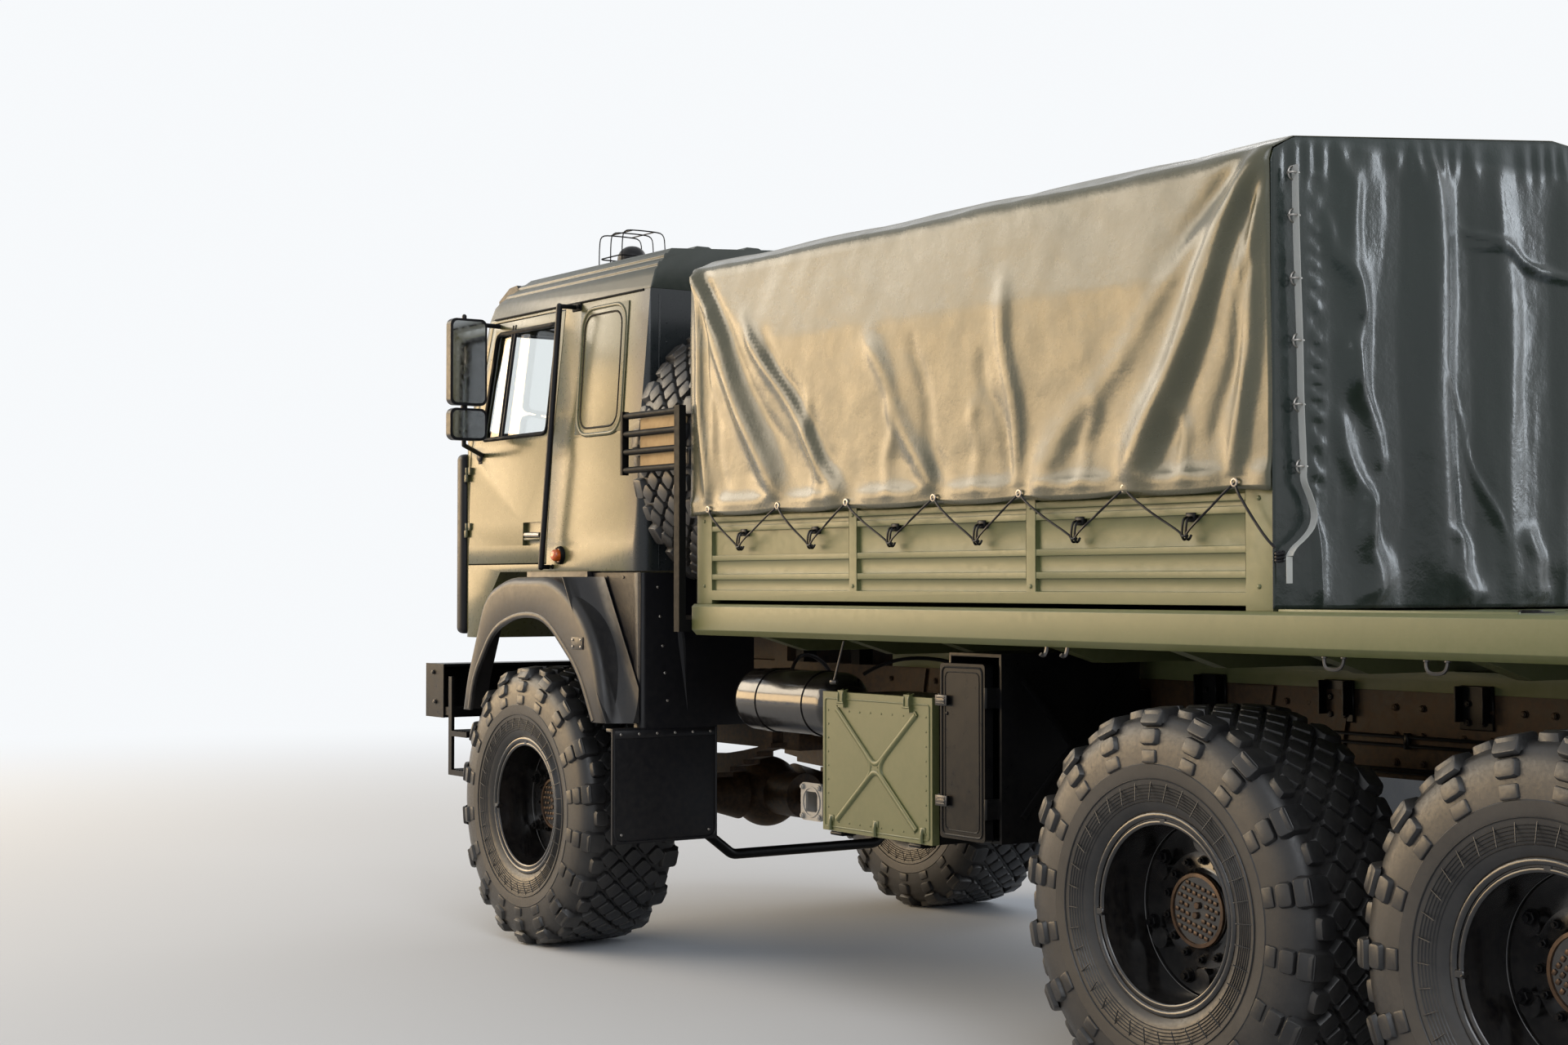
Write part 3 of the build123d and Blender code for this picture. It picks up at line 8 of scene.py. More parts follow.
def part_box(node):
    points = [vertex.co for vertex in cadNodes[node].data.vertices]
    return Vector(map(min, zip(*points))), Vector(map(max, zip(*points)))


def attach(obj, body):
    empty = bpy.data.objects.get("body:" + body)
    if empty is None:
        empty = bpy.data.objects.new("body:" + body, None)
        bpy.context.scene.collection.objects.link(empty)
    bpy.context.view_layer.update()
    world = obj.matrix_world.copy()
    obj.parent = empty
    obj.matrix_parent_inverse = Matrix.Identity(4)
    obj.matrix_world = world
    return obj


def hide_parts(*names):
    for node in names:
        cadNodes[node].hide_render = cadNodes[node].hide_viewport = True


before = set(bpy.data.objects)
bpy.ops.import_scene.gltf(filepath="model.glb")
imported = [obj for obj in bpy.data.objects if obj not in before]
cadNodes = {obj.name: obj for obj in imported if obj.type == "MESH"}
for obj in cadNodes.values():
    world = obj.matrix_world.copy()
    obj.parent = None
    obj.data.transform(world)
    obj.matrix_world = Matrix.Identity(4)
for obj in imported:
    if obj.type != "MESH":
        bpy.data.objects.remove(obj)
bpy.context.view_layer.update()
scene = bpy.context.scene
sideNames = {1: "left", -1: "right"}
print("frame loaded:", len(cadNodes), "nodes")


# Shader nodes


# Gives each socket its value, or a link from another socket
def feed(tree, node, values):
    for socket, value in values.items():
        if isinstance(value, bpy.types.NodeSocket):
            tree.links.new(value, node.inputs[socket])
        else:
            node.inputs[socket].default_value = value


def addNode(tree, kind, values=None, **settings):
    node = tree.nodes.new("ShaderNode" + kind)
    for name, value in settings.items():
        setattr(node, name, value)
    feed(tree, node, values or {})
    return node


def mathOf(tree, operation, first, second):
    return addNode(tree, "Math", {0: first, 1: second}, operation=operation).outputs["Value"]


def startMaterial(name):
    material = bpy.data.materials.new(name)
    material.use_nodes = True
    tree = material.node_tree
    place = addNode(tree, "TexCoord").outputs["Object"]
    return material, tree, tree.nodes["Principled BSDF"], place


def noiseOf(tree, place, scale, detail, rough):
    values = {"Vector": place, "Scale": scale, "Detail": detail, "Roughness": rough}
    return addNode(tree, "TexNoise", values).outputs["Fac"]


def rampOf(tree, source, stops):
    ramp = addNode(tree, "ValToRGB", {"Fac": source})
    for element, (at, colour) in zip(ramp.color_ramp.elements, stops):
        element.position, element.color = at, (*colour, 1)
    return ramp.outputs["Color"]


def rangeOf(tree, source, low, high, toLow, toHigh):
    values = {"Value": source, "From Min": low, "From Max": high, "To Min": toLow, "To Max": toHigh}
    return addNode(tree, "MapRange", values).outputs["Result"]


def mixColours(tree, share, first, second):
    return addNode(tree, "Mix", {"Factor": share, 6: first, 7: second}, data_type="RGBA").outputs[2]


def bumpOf(tree, height, strength, distance, under=None):
    values = {"Height": height, "Strength": strength, "Distance": distance}
    if under:
        values["Normal"] = under
    return addNode(tree, "Bump", values).outputs["Normal"]


def axisOf(tree, place, axis="Z"):
    return addNode(tree, "SeparateXYZ", {"Vector": place}).outputs[axis]


# Camera, floor and light

stageSettings = {
    "cameraPlace": (-6.0912, 6.1719, 1.6315),
    "cameraTilt": 91.549,
    "cameraTurn": -124.035,
    "lens": 52.57,
    "floorSize": 120.0,
    "floorColour": (0.62, 0.65, 0.69, 1),
    "floorRough": 0.85,
    "worldColour": (0.86, 0.90, 0.96, 1),
    "worldStrength": 0.56,
    "backdrop": (0.93, 0.95, 0.97, 1),
    "fadeStart": 8.0,
    "fadeEnd": 19.0,
}

# Each lamp's place, aim, size, power and colour
truckMiddle = (0.5, 0, 2.0)
lamps = {
    "keyLamp": ((15.9, 12.3, 3.5), truckMiddle, (19.5, 4.2), 1850.0, (1.0, 0.68, 0.33)),
    "skyLamp": ((14.6, 11.3, 8.3), truckMiddle, (19.5, 4.6), 1700.0, (1.0, 0.84, 0.62)),
    "fillLamp": ((-9.0, 6.0, 9.0), truckMiddle, (7.0, 6.0), 420.0, (0.92, 0.95, 1.0)),
    "rimLamp": ((9.0, -12.0, 8.0), truckMiddle, (7.0, 6.0), 260.0, (1.0, 0.97, 0.93)),
    "glintLamp": ((-5.4, -10.6, 5.0), (-1.4, 0.4, 2.3), (2.6, 5.0), 210.0, (0.84, 0.92, 1.0)),
}


def areaLamp(name, place, target, size, power, colour):
    lamp = bpy.data.lights.new(name, "AREA")
    lamp.shape = "RECTANGLE"
    lamp.size, lamp.size_y = size
    lamp.energy = power
    lamp.color = colour
    holder = bpy.data.objects.new(name, lamp)
    holder.location = place
    holder.rotation_euler = (Vector(target) - Vector(place)).to_track_quat("-Z", "Y").to_euler()
    scene.collection.objects.link(holder)


# Rays that see the backdrop: from the camera, mirrored and through glass
def seenRays(tree):
    rays = addNode(tree, "LightPath").outputs
    mirrored = mathOf(tree, "MAXIMUM", rays["Is Camera Ray"], rays["Is Glossy Ray"])
    return mathOf(tree, "MAXIMUM", mirrored, rays["Is Transmission Ray"])


def makeCamera():
    s = stageSettings
    lens = bpy.data.cameras.new("camera")
    lens.lens = s["lens"]
    lens.clip_end = 200
    camera = bpy.data.objects.new("camera", lens)
    camera.location = s["cameraPlace"]
    camera.rotation_euler = (radians(s["cameraTilt"]), 0, radians(s["cameraTurn"]))
    scene.collection.objects.link(camera)
    scene.camera = camera


# Far from the truck the camera sees the floor turn into the backdrop
def makeFloor():
    s = stageSettings
    bm = bmesh.new()
    bmesh.ops.create_grid(bm, x_segments=1, y_segments=1, size=s["floorSize"] / 2)
    mesh = bpy.data.meshes.new("floor")
    bm.to_mesh(mesh)
    bm.free()
    floor = bpy.data.objects.new("floor", mesh)
    scene.collection.objects.link(floor)
    look, tree, shader, place = startMaterial("floorMatt")
    feed(tree, shader, {"Base Color": s["floorColour"], "Roughness": s["floorRough"]})
    mesh.materials.append(look)

    reach = addNode(tree, "VectorMath", {0: place}, operation="LENGTH").outputs["Value"]
    limits = {"Value": reach, "From Min": s["fadeStart"], "From Max": s["fadeEnd"]}
    fade = addNode(tree, "MapRange", limits, interpolation_type="SMOOTHSTEP").outputs["Result"]
    share = mathOf(tree, "MULTIPLY", fade, seenRays(tree))
    pale = addNode(tree, "Emission", {"Color": s["backdrop"]}).outputs["Emission"]
    blend = addNode(tree, "MixShader", {"Fac": share, 1: shader.outputs["BSDF"], 2: pale})
    feed(tree, tree.nodes["Material Output"], {"Surface": blend.outputs["Shader"]})


def makeWorld():
    s = stageSettings
    world = bpy.data.worlds.new("softSky")
    scene.world = world
    world.use_nodes = True
    tree = world.node_tree
    tree.nodes.clear()
    lighting = addNode(tree, "Background", {"Color": s["worldColour"], "Strength": s["worldStrength"]})
    backdrop = addNode(tree, "Background", {"Color": s["backdrop"], "Strength": 1.0})
    layers = {"Fac": seenRays(tree), 1: lighting.outputs["Background"], 2: backdrop.outputs["Background"]}
    addNode(tree, "OutputWorld", {"Surface": addNode(tree, "MixShader", layers).outputs["Shader"]})


makeCamera()
makeFloor()
makeWorld()
for name, settings in lamps.items():
    areaLamp(name, *settings)
scene.view_settings.view_transform = "Standard"
print("stage ready")


# Materials, each with its own variation, roughness and bump

# What a paint has unless its own look says more: scales of its noises, bumps, shine, and dust that gathers low down
plainPaint = {
    "drift": 1.7, "fine": 38.0, "peel": 160.0, "peelBump": 0.05, "wave": 6.0, "waveBump": 0.06, "spread": 1.0,
    "metal": 0.0, "specular": 0.5, "coat": 0.0, "coatRough": 0.2,
    "dustTop": 2.0, "dustColour": (0.26, 0.22, 0.16), "dustDepth": 0.9,
}

looks = {
    "cabPaint": {
        "dark": (0.062, 0.064, 0.026), "light": (0.078, 0.078, 0.032), "rough": 0.28, "dust": 0.03,
        "specular": 0.42, "coat": 0.14, "coatRough": 0.14, "waveBump": 0.08, "peelBump": 0.02, "spread": 0.4,
        # painted shade: from x 2.50 back to 2.39 the paint turns dark blue-grey, for the cab's rear corner and wall in
        # shadow
        "paintedShadeX": (2.50, 2.39), "paintedShadeColour": (0.016, 0.020, 0.022),
    },
    # painted shade: the cab's paint made darker and greyer for the roof
    "shadedRoofPaint": {
        "dark": (0.036, 0.044, 0.036), "light": (0.048, 0.056, 0.046), "rough": 0.40, "dust": 0.06,
        "dustTop": 3.6, "coat": 0.2, "coatRough": 0.3,
    },
    "olivePaint": {
        "dark": (0.088, 0.102, 0.036), "light": (0.112, 0.124, 0.046), "rough": 0.42, "dust": 0.20,
        "dustTop": 2.4, "dustColour": (0.20, 0.18, 0.10), "coat": 0.12, "coatRough": 0.35,
    },
    "chassisPaint": {
        "dark": (0.012, 0.009, 0.007), "light": (0.040, 0.024, 0.013), "rough": 0.50, "dust": 0.5,
        "dustTop": 1.9, "dustColour": (0.13, 0.070, 0.032), "drift": 3.5, "specular": 0.22,
    },
    "blackPaint": {
        "dark": (0.003, 0.003, 0.004), "light": (0.006, 0.006, 0.006), "rough": 0.32, "dust": 0.05,
        "dustTop": 1.6, "dustColour": (0.08, 0.065, 0.045), "specular": 0.16,
    },
    "mattBlack": {
        "dark": (0.003, 0.003, 0.003), "light": (0.006, 0.006, 0.006), "rough": 0.50, "dust": 0.04,
        "dustTop": 1.6, "dustColour": (0.08, 0.065, 0.045), "specular": 0.10,
    },
    "rimPaint": {
        "dark": (0.004, 0.004, 0.005), "light": (0.009, 0.008, 0.008), "rough": 0.18, "dust": 0.05,
        "dustTop": 1.7, "coat": 0.4, "coatRough": 0.12, "waveBump": 0.10,
    },
    "blackPlastic": {
        "dark": (0.007, 0.007, 0.009), "light": (0.011, 0.011, 0.013), "rough": 0.36, "dust": 0.08,
        "dustTop": 1.6, "dustColour": (0.10, 0.085, 0.06), "peel": 420.0, "peelBump": 0.16, "specular": 0.26,
    },
    "flarePlastic": {
        "dark": (0.014, 0.014, 0.016), "light": (0.022, 0.021, 0.021), "rough": 0.38, "dust": 0.10,
        "dustColour": (0.12, 0.10, 0.075), "peel": 380.0, "peelBump": 0.12, "specular": 0.40,
    },
    "dashPlastic": {
        "dark": (0.030, 0.030, 0.032), "light": (0.045, 0.045, 0.048), "rough": 0.58, "dust": 0.0,
        "peel": 300.0, "peelBump": 0.3,
    },
    "bareSteel": {
        "dark": (0.26, 0.24, 0.22), "light": (0.42, 0.40, 0.37), "rough": 0.36, "dust": 0.2,
        "dustColour": (0.22, 0.14, 0.08), "metal": 0.9, "drift": 9.0,
    },
    "latchSteel": {
        "dark": (0.060, 0.058, 0.056), "light": (0.11, 0.105, 0.10), "rough": 0.34, "dust": 0.1,
        "dustColour": (0.14, 0.10, 0.07), "metal": 0.8, "drift": 9.0,
    },
    "rustyBronze": {
        "dark": (0.026, 0.015, 0.009), "light": (0.095, 0.054, 0.030), "rough": 0.38, "dust": 0.1,
        "dustColour": (0.14, 0.09, 0.055), "metal": 0.45, "drift": 26.0,
    },
    "mirrorGlass": {
        "dark": (0.55, 0.58, 0.60), "light": (0.62, 0.64, 0.66), "rough": 0.08, "dust": 0.0,
        "metal": 1.0, "peelBump": 0.0, "waveBump": 0.0,
    },
    "strapWebbing": {
        "dark": (0.46, 0.46, 0.43), "light": (0.56, 0.56, 0.52), "rough": 0.8, "dust": 0.05,
        "peel": 700.0, "peelBump": 0.5,
    },
    "paleWood": {"dark": (0.40, 0.27, 0.13), "light": (0.56, 0.40, 0.21), "rough": 0.7, "dust": 0.1, "drift": 12.0},
    "greyPanel": {"dark": (0.30, 0.30, 0.29), "light": (0.38, 0.37, 0.35), "rough": 0.5, "dust": 0.3},
}


# Sprayed paint: slow colour drift, orange peel and dust; a painted shade, where the look gives one, turns it to a
# darker colour from one x to the next
def paintMaterial(name, own):
    look = {**plainPaint, **own}
    material, tree, shader, place = startMaterial(name)
    drift = noiseOf(tree, place, look["drift"], 5, 0.6)
    fine = noiseOf(tree, place, look["fine"], 3, 0.6)
    base = rampOf(tree, drift, [(0.30, look["dark"]), (0.72, look["light"])])
    # painted shade: the paint is mixed towards the shade colour between the two x
    if "paintedShadeX" in look:
        back = rangeOf(tree, axisOf(tree, place, "X"), *look["paintedShadeX"], 0.0, 1.0)
        base = mixColours(tree, back, base, (*look["paintedShadeColour"], 1))
    top, rough, spread = look["dustTop"], look["rough"], look["spread"]
    low = rangeOf(tree, axisOf(tree, place), top, top - look["dustDepth"], 0.0, 1.0)
    dusty = mathOf(tree, "MULTIPLY", low, rangeOf(tree, fine, 0.35, 0.75, 0.0, look["dust"]))
    peel = noiseOf(tree, place, look["peel"], 2, 0.5)
    slow = bumpOf(tree, noiseOf(tree, place, look["wave"], 2, 0.5), look["waveBump"], 0.02)
    feed(tree, shader, {
        "Base Color": mixColours(tree, dusty, base, (*look["dustColour"], 1)),
        "Roughness": rangeOf(tree, fine, 0.3, 0.7, rough - 0.05 * spread, rough + 0.08 * spread),
        "Normal": bumpOf(tree, peel, look["peelBump"], 0.002, slow),
        "Metallic": look["metal"],
        "Specular IOR Level": look["specular"],
        "Coat Weight": look["coat"],
        "Coat Roughness": look["coatRough"],
    })
    return material


# Tyre rubber: dark and dusty, with a fine grain
def tyreMaterial():
    material, tree, shader, place = startMaterial("tyreRubber")
    drift = noiseOf(tree, place, 5.0, 5, 0.65)
    fine = noiseOf(tree, place, 90.0, 3, 0.6)
    base = rampOf(tree, drift, [(0.30, (0.010, 0.010, 0.011)), (0.75, (0.024, 0.023, 0.022))])
    dusty = rangeOf(tree, drift, 0.42, 0.72, 0.0, 0.20)
    feed(tree, shader, {
        "Base Color": mixColours(tree, dusty, base, (0.060, 0.057, 0.055, 1)),
        "Roughness": rangeOf(tree, fine, 0.3, 0.7, 0.34, 0.50),
        "Normal": bumpOf(tree, fine, 0.16, 0.0015),
    })
    return material


# Coated tarpaulin: fine weave under a glossy coat, crumples at three sizes, and a matt roof
def tarpMaterial(name, dark, light, rough, crumpled=1.0, coat=0.30):
    material, tree, shader, place = startMaterial(name)
    drift = noiseOf(tree, place, 1.1, 5, 0.6)
    crumple = noiseOf(tree, place, 2.6, 6, 0.62)
    crease = noiseOf(tree, place, 11.0, 4, 0.6)
    weave = addNode(tree, "TexWave", {"Vector": place, "Scale": 260.0, "Distortion": 1.0}).outputs["Fac"]
    creased = rangeOf(tree, crease, 0.3, 0.7, rough - 0.06, rough + 0.10)
    roof = rangeOf(tree, axisOf(tree, place), 2.90, 2.96, 0.0, 0.58)
    big = bumpOf(tree, crumple, 0.14 * crumpled, 0.05)
    middle = bumpOf(tree, crease, 0.11 * crumpled, 0.012, big)
    feed(tree, shader, {
        "Base Color": rampOf(tree, drift, [(0.30, dark), (0.74, light)]),
        "Roughness": mathOf(tree, "MAXIMUM", creased, roof),
        "Normal": bumpOf(tree, weave, 0.05, 0.0008, middle),
        "Sheen Weight": 0.10,
        "Coat Weight": coat,
        "Coat Roughness": 0.24,
    })
    return material


def glassMaterial():
    material, tree, shader, place = startMaterial("windowGlass")
    feed(tree, shader, {
        "Base Color": (0.965, 0.985, 0.975, 1),
        "Transmission Weight": 1.0,
        "IOR": 1.45,
        "Roughness": rangeOf(tree, noiseOf(tree, place, 14.0, 3, 0.5), 0.4, 0.8, 0.01, 0.06),
    })
    return material


def lensMaterial(name, colour):
    material, tree, shader, place = startMaterial(name)
    ribs = addNode(tree, "TexWave", {"Vector": place, "Scale": 60.0}).outputs["Fac"]
    feed(tree, shader, {
        "Base Color": rampOf(tree, ribs, [(0.2, [c * 0.75 for c in colour]), (0.8, colour)]),
        "Normal": bumpOf(tree, ribs, 0.3, 0.002),
        "Roughness": 0.12,
        "Coat Weight": 0.6,
        "Transmission Weight": 0.15,
    })
    return material


# Woven cloth for the seats
def seatMaterial():
    material, tree, shader, place = startMaterial("seatCloth")
    fine = noiseOf(tree, place, 240.0, 3, 0.6)
    blotch = noiseOf(tree, place, 9.0, 4, 0.6)
    feed(tree, shader, {
        "Base Color": rampOf(tree, blotch, [(0.3, (0.040, 0.042, 0.048)), (0.75, (0.066, 0.068, 0.074))]),
        "Normal": bumpOf(tree, fine, 0.5, 0.0012),
        "Roughness": 0.85,
        "Sheen Weight": 0.3,
    })
    return material


paints = {name: paintMaterial(name, look) for name, look in looks.items()}
paints["tyreRubber"] = tyreMaterial()
paints["tarpaulin"] = tarpMaterial("tarpaulin", (0.050, 0.050, 0.024), (0.070, 0.068, 0.033), 0.27)
# painted shade: the end curtains get the tarpaulin much darker and greener than the side cover, for ends in shadow
paints["shadedEndTarp"] = tarpMaterial("shadedEndTarp", (0.004, 0.011, 0.009), (0.008, 0.019, 0.014), 0.22, 1.2, 0.0)
paints["windowGlass"] = glassMaterial()
paints["orangeLens"] = lensMaterial("orangeLens", (0.85, 0.16, 0.02))
paints["redLens"] = lensMaterial("redLens", (0.55, 0.015, 0.012))
paints["clearLens"] = lensMaterial("clearLens", (0.80, 0.82, 0.82))
paints["seatCloth"] = seatMaterial()
print("materials made:", len(paints))

wheelNames = [f"{n}_{side}" for n in (1, 2, 3) for side in ("left", "right")]
nodeLooks = {
    "cabPaint": ["cab_shell", "door_left", "door_right"],
    "shadedRoofPaint": ["cab_roof"],
    "olivePaint": ["platform", "rear_deck", "dropsides", "equipment_lid", "canopy_frame"],
    "chassisPaint": ["chassis_frame", "axles", "springs", "driveline", "knuckle_left", "knuckle_right"],
    "mattBlack": ["spare_carrier"],
    "blackPaint": ["front_bumper", "side_boxes", "tow_coupling", "tie_rod", "battery_lid"],
    "blackPlastic": ["mudguards", "grille", "cab_fittings", "mirror_left", "mirror_right", "rear_lamps"],
    "flarePlastic": ["fender_flares"],
    "dashPlastic": ["dashboard"],
    "seatCloth": ["seats"],
    "windowGlass": ["cab_glass", "door_glass_left", "door_glass_right"],
    "orangeLens": ["side_lamps"],
    "clearLens": ["front_lamps"],
    "tarpaulin": ["canopy"],
    "rimPaint": ["tanks", "spare_rim"] + ["rim_" + name for name in wheelNames],
    "tyreRubber": ["spare_tyre"] + ["tyre_" + name for name in wheelNames],
}
edgeWidths = {
    "cab_shell": 0.004, "cab_roof": 0.004, "door_left": 0.004, "door_right": 0.004, "platform": 0.002,
    "dropsides": 0.002, "fender_flares": 0.003, "mudguards": 0.003, "side_boxes": 0.003,
}


# Smooth shading that stays sharp at an angle, for meshes whose own data is left alone
def smoothGroup(sharpAngle=32):
    group = bpy.data.node_groups.new("smoothByAngle", "GeometryNodeTree")
    for way in ("INPUT", "OUTPUT"):
        group.interface.new_socket("Geometry", in_out=way, socket_type="NodeSocketGeometry")
    nodes, links = group.nodes, group.links
    start, end = nodes.new("NodeGroupInput"), nodes.new("NodeGroupOutput")
    faces, edges = nodes.new("GeometryNodeSetShadeSmooth"), nodes.new("GeometryNodeSetShadeSmooth")
    faces.domain, edges.domain = "FACE", "EDGE"
    faces.inputs["Shade Smooth"].default_value = True
    edges.inputs["Shade Smooth"].default_value = False
    angle = nodes.new("GeometryNodeInputMeshEdgeAngle")
    sharp = nodes.new("FunctionNodeCompare")
    sharp.data_type, sharp.operation = "FLOAT", "GREATER_THAN"
    sharp.inputs[1].default_value = radians(sharpAngle)
    links.new(angle.outputs["Unsigned Angle"], sharp.inputs[0])
    links.new(start.outputs[0], faces.inputs["Geometry"])
    links.new(faces.outputs["Geometry"], edges.inputs["Geometry"])
    links.new(sharp.outputs["Result"], edges.inputs["Selection"])
    links.new(edges.outputs["Geometry"], end.inputs[0])
    return group


smoothNodes = smoothGroup()


def finishEdges(piece, width):
    weld = piece.modifiers.new("weld", "WELD")
    weld.merge_threshold = 0.00005
    if width:
        bevel = piece.modifiers.new("bevel", "BEVEL")
        bevel.width = width
        bevel.segments = 2
        bevel.limit_method = "ANGLE"
        bevel.angle_limit = radians(40)
        bevel.use_clamp_overlap = True
    smooth = piece.modifiers.new("smooth", "NODES")
    smooth.node_group = smoothNodes


def dressCadNodes():
    for look, names in nodeLooks.items():
        for name in names:
            piece = cadNodes[name]
            piece.data.materials.clear()
            piece.data.materials.append(paints[look])
            finishEdges(piece, edgeWidths.get(name, 0.0))


dressCadNodes()
print("frame pieces dressed")


# Tools for new pieces


def keepPiece(name, bm, body, look, sharp=50, replaced=()):
    mesh = bpy.data.meshes.new(name)
    bm.to_mesh(mesh)
    bm.free()
    mesh.shade_smooth()
    mesh.set_sharp_from_angle(angle=radians(sharp))
    mesh.materials.append(paints[look])
    piece = bpy.data.objects.new(name, mesh)
    scene.collection.objects.link(piece)
    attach(piece, body)
    if replaced:
        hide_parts(*replaced)
    return piece


def newMeshes(count):
    return [bmesh.new() for _ in range(count)]


# A mesh to copy from; a closed one has its faces turned outwards
def unitMesh(bm, closed=True):
    if closed:
        bmesh.ops.recalc_face_normals(bm, faces=bm.faces)
    mesh = bpy.data.meshes.new("unit")
    bm.to_mesh(mesh)
    bm.free()
    return mesh


def addCopies(bm, unit, places):
    for place in places:
        copy = unit.copy()
        copy.transform(place)
        bm.from_mesh(copy)
        bpy.data.meshes.remove(copy)


def edgesOf(verts):
    return list(dict.fromkeys(e for v in verts for e in v.link_edges))


def bevelEdges(bm, edges, width, segments=1):
    bmesh.ops.bevel(
        bm, geom=edges, offset=width, segments=segments, profile=0.5, affect="EDGES", material=-1, clamp_overlap=True,
    )


def roundCorners(bm, width, segments):
    bmesh.ops.bevel(
        bm, geom=list(bm.verts), offset=width, segments=segments, profile=0.5, affect="VERTICES", material=-1,
    )


# A block from its low and high corners, its edges eased
def addBlock(bm, low, high, ease=0.0, segments=1):
    low, high = Vector(low), Vector(high)
    made = bmesh.ops.create_cube(bm, size=1.0)["verts"]
    place = Matrix.Translation((low + high) / 2) @ Matrix.Diagonal((*(high - low), 1))
    bmesh.ops.transform(bm, matrix=place, verts=made)
    if ease:
        bevelEdges(bm, edgesOf(made), ease, segments)


# A block given as it stands on the left side
def addSideBlock(bm, side, low, high, ease=0.0, segments=1):
    (x0, y0, z0), (x1, y1, z1) = low, high
    y0, y1 = sorted((side * y0, side * y1))
    addBlock(bm, (x0, y0, z0), (x1, y1, z1), ease, segments)


# A round bar from one point to another
def addRod(bm, start, end, radius, sides=12, tip=None, ease=0.0):
    start, end = Vector(start), Vector(end)
    along = end - start
    made = bmesh.ops.create_cone(
        bm, cap_ends=True, segments=sides, radius1=radius, radius2=radius if tip is None else tip,
        depth=along.length,
    )["verts"]
    place = Matrix.Translation((start + end) / 2) @ along.to_track_quat("Z", "Y").to_matrix().to_4x4()
    bmesh.ops.transform(bm, matrix=place, verts=made)
    if ease:
        bevelEdges(bm, [e for e in edgesOf(made) if any(len(f.verts) > 4 for f in e.link_faces)], ease)


# A closed outline of (radius, along) points spun once round the Y axis
def spinOutline(bm, points, steps):
    verts = [bm.verts.new((r, u, 0)) for r, u in points]
    edges = [bm.edges.new((a, b)) for a, b in zip(verts, verts[1:] + verts[:1])]
    bmesh.ops.spin(
        bm, geom=verts + edges, cent=(0, 0, 0), axis=(0, 1, 0), angle=tau, steps=steps, use_merge=True,
    )


def ringUnit(points, steps):
    bm = bmesh.new()
    spinOutline(bm, points, steps)
    return unitMesh(bm)


# A smooth curve through near its points, made a mesh
def curveMesh(points, cyclic, resolution, tilt=0.0, **shape):
    curve = bpy.data.curves.new("run", "CURVE")
    curve.dimensions = "3D"
    curve.resolution_u = resolution
    for name, value in shape.items():
        setattr(curve, name, value)
    spline = curve.splines.new("NURBS")
    spline.points.add(len(points) - 1)
    for point, place in zip(spline.points, points):
        point.co = (*place, 1)
        point.tilt = tilt
    spline.use_endpoint_u = not cyclic
    spline.use_cyclic_u = cyclic
    spline.order_u = 3
    holder = bpy.data.objects.new("run", curve)
    mesh = bpy.data.meshes.new_from_object(holder)
    bpy.data.objects.remove(holder)
    return mesh


def addTube(bm, points, radius, sides=8, cyclic=False, resolution=6):
    rings = max(0, sides // 4 - 1)
    mesh = curveMesh(points, cyclic, resolution, bevel_depth=radius, bevel_resolution=rings, use_fill_caps=True)
    bm.from_mesh(mesh)


# A closed ring of wire or rubber along an outline
def addLoop(bm, points, radius, sides=8):
    addTube(bm, points, radius, sides, cyclic=True, resolution=2)


def scaleAbout(bm, scales, middle):
    place = Matrix.Translation([-k for k in middle])
    bmesh.ops.transform(bm, matrix=Matrix.Diagonal((*scales, 1)), verts=bm.verts, space=place)


def toSide(points, side):
    return [(x, side * y, z) for x, y, z in points]


def aboutY(angle):
    return Matrix.Rotation(angle, 4, "Y")


# Turns a shape that stands on XY so that it stands on a wall facing that way
turnOut = {
    1: Matrix.Rotation(-pi / 2, 4, "X"), -1: Matrix.Rotation(pi / 2, 4, "X"),
    "back": Matrix.Rotation(-pi / 2, 4, "Y"), "front": Matrix.Rotation(pi / 2, 4, "Y"), "up": Matrix.Identity(4),
}


def standing(x, y, z, way):
    return Matrix.Translation((x, y, z)) @ turnOut[way]


def onSide(x, y, z, side):
    return standing(x, side * y, z, side)


# Turns a shape made for the left side to the right
def facing(side):
    return Matrix.Identity(4) if side > 0 else Matrix.Rotation(pi, 4, "Z")


# A hexagonal nut on its washer with the stud's end standing out, about +Z
def nutUnit(across, height, stud):
    bm = bmesh.new()
    for sides, radius, low, high, ease in (
        (12, across * 0.72, 0, height * 0.18, 0),
        (6, across * 0.577, height * 0.15, height, 0.0012),
        (8, across * 0.30, height * 0.9, height + stud, 0),
    ):
        addRod(bm, (0, 0, low), (0, 0, high), radius, sides, ease=ease)
    return unitMesh(bm)


def screwUnit(radius, height):
    bm = bmesh.new()
    addRod(bm, (0, 0, 0), (0, 0, height), radius, 12, ease=height * 0.45)
    addBlock(bm, (-radius * 0.6, -0.0007, height * 0.7), (radius * 0.6, 0.0007, height * 1.06))
    return unitMesh(bm)


def rivetUnit(radius):
    bm = bmesh.new()
    addRod(bm, (0, 0, 0), (0, 0, radius * 0.55), radius, 10, tip=radius * 0.62, ease=radius * 0.18)
    return unitMesh(bm)


screw, boltHead = screwUnit(0.0065, 0.004), nutUnit(0.019, 0.010, 0.003)
rivet, smallRivet = rivetUnit(0.0085), rivetUnit(0.0042)


# Tyres: a spun carcass with ribs on its walls, diamonds on its crown and stepped lugs on its shoulders

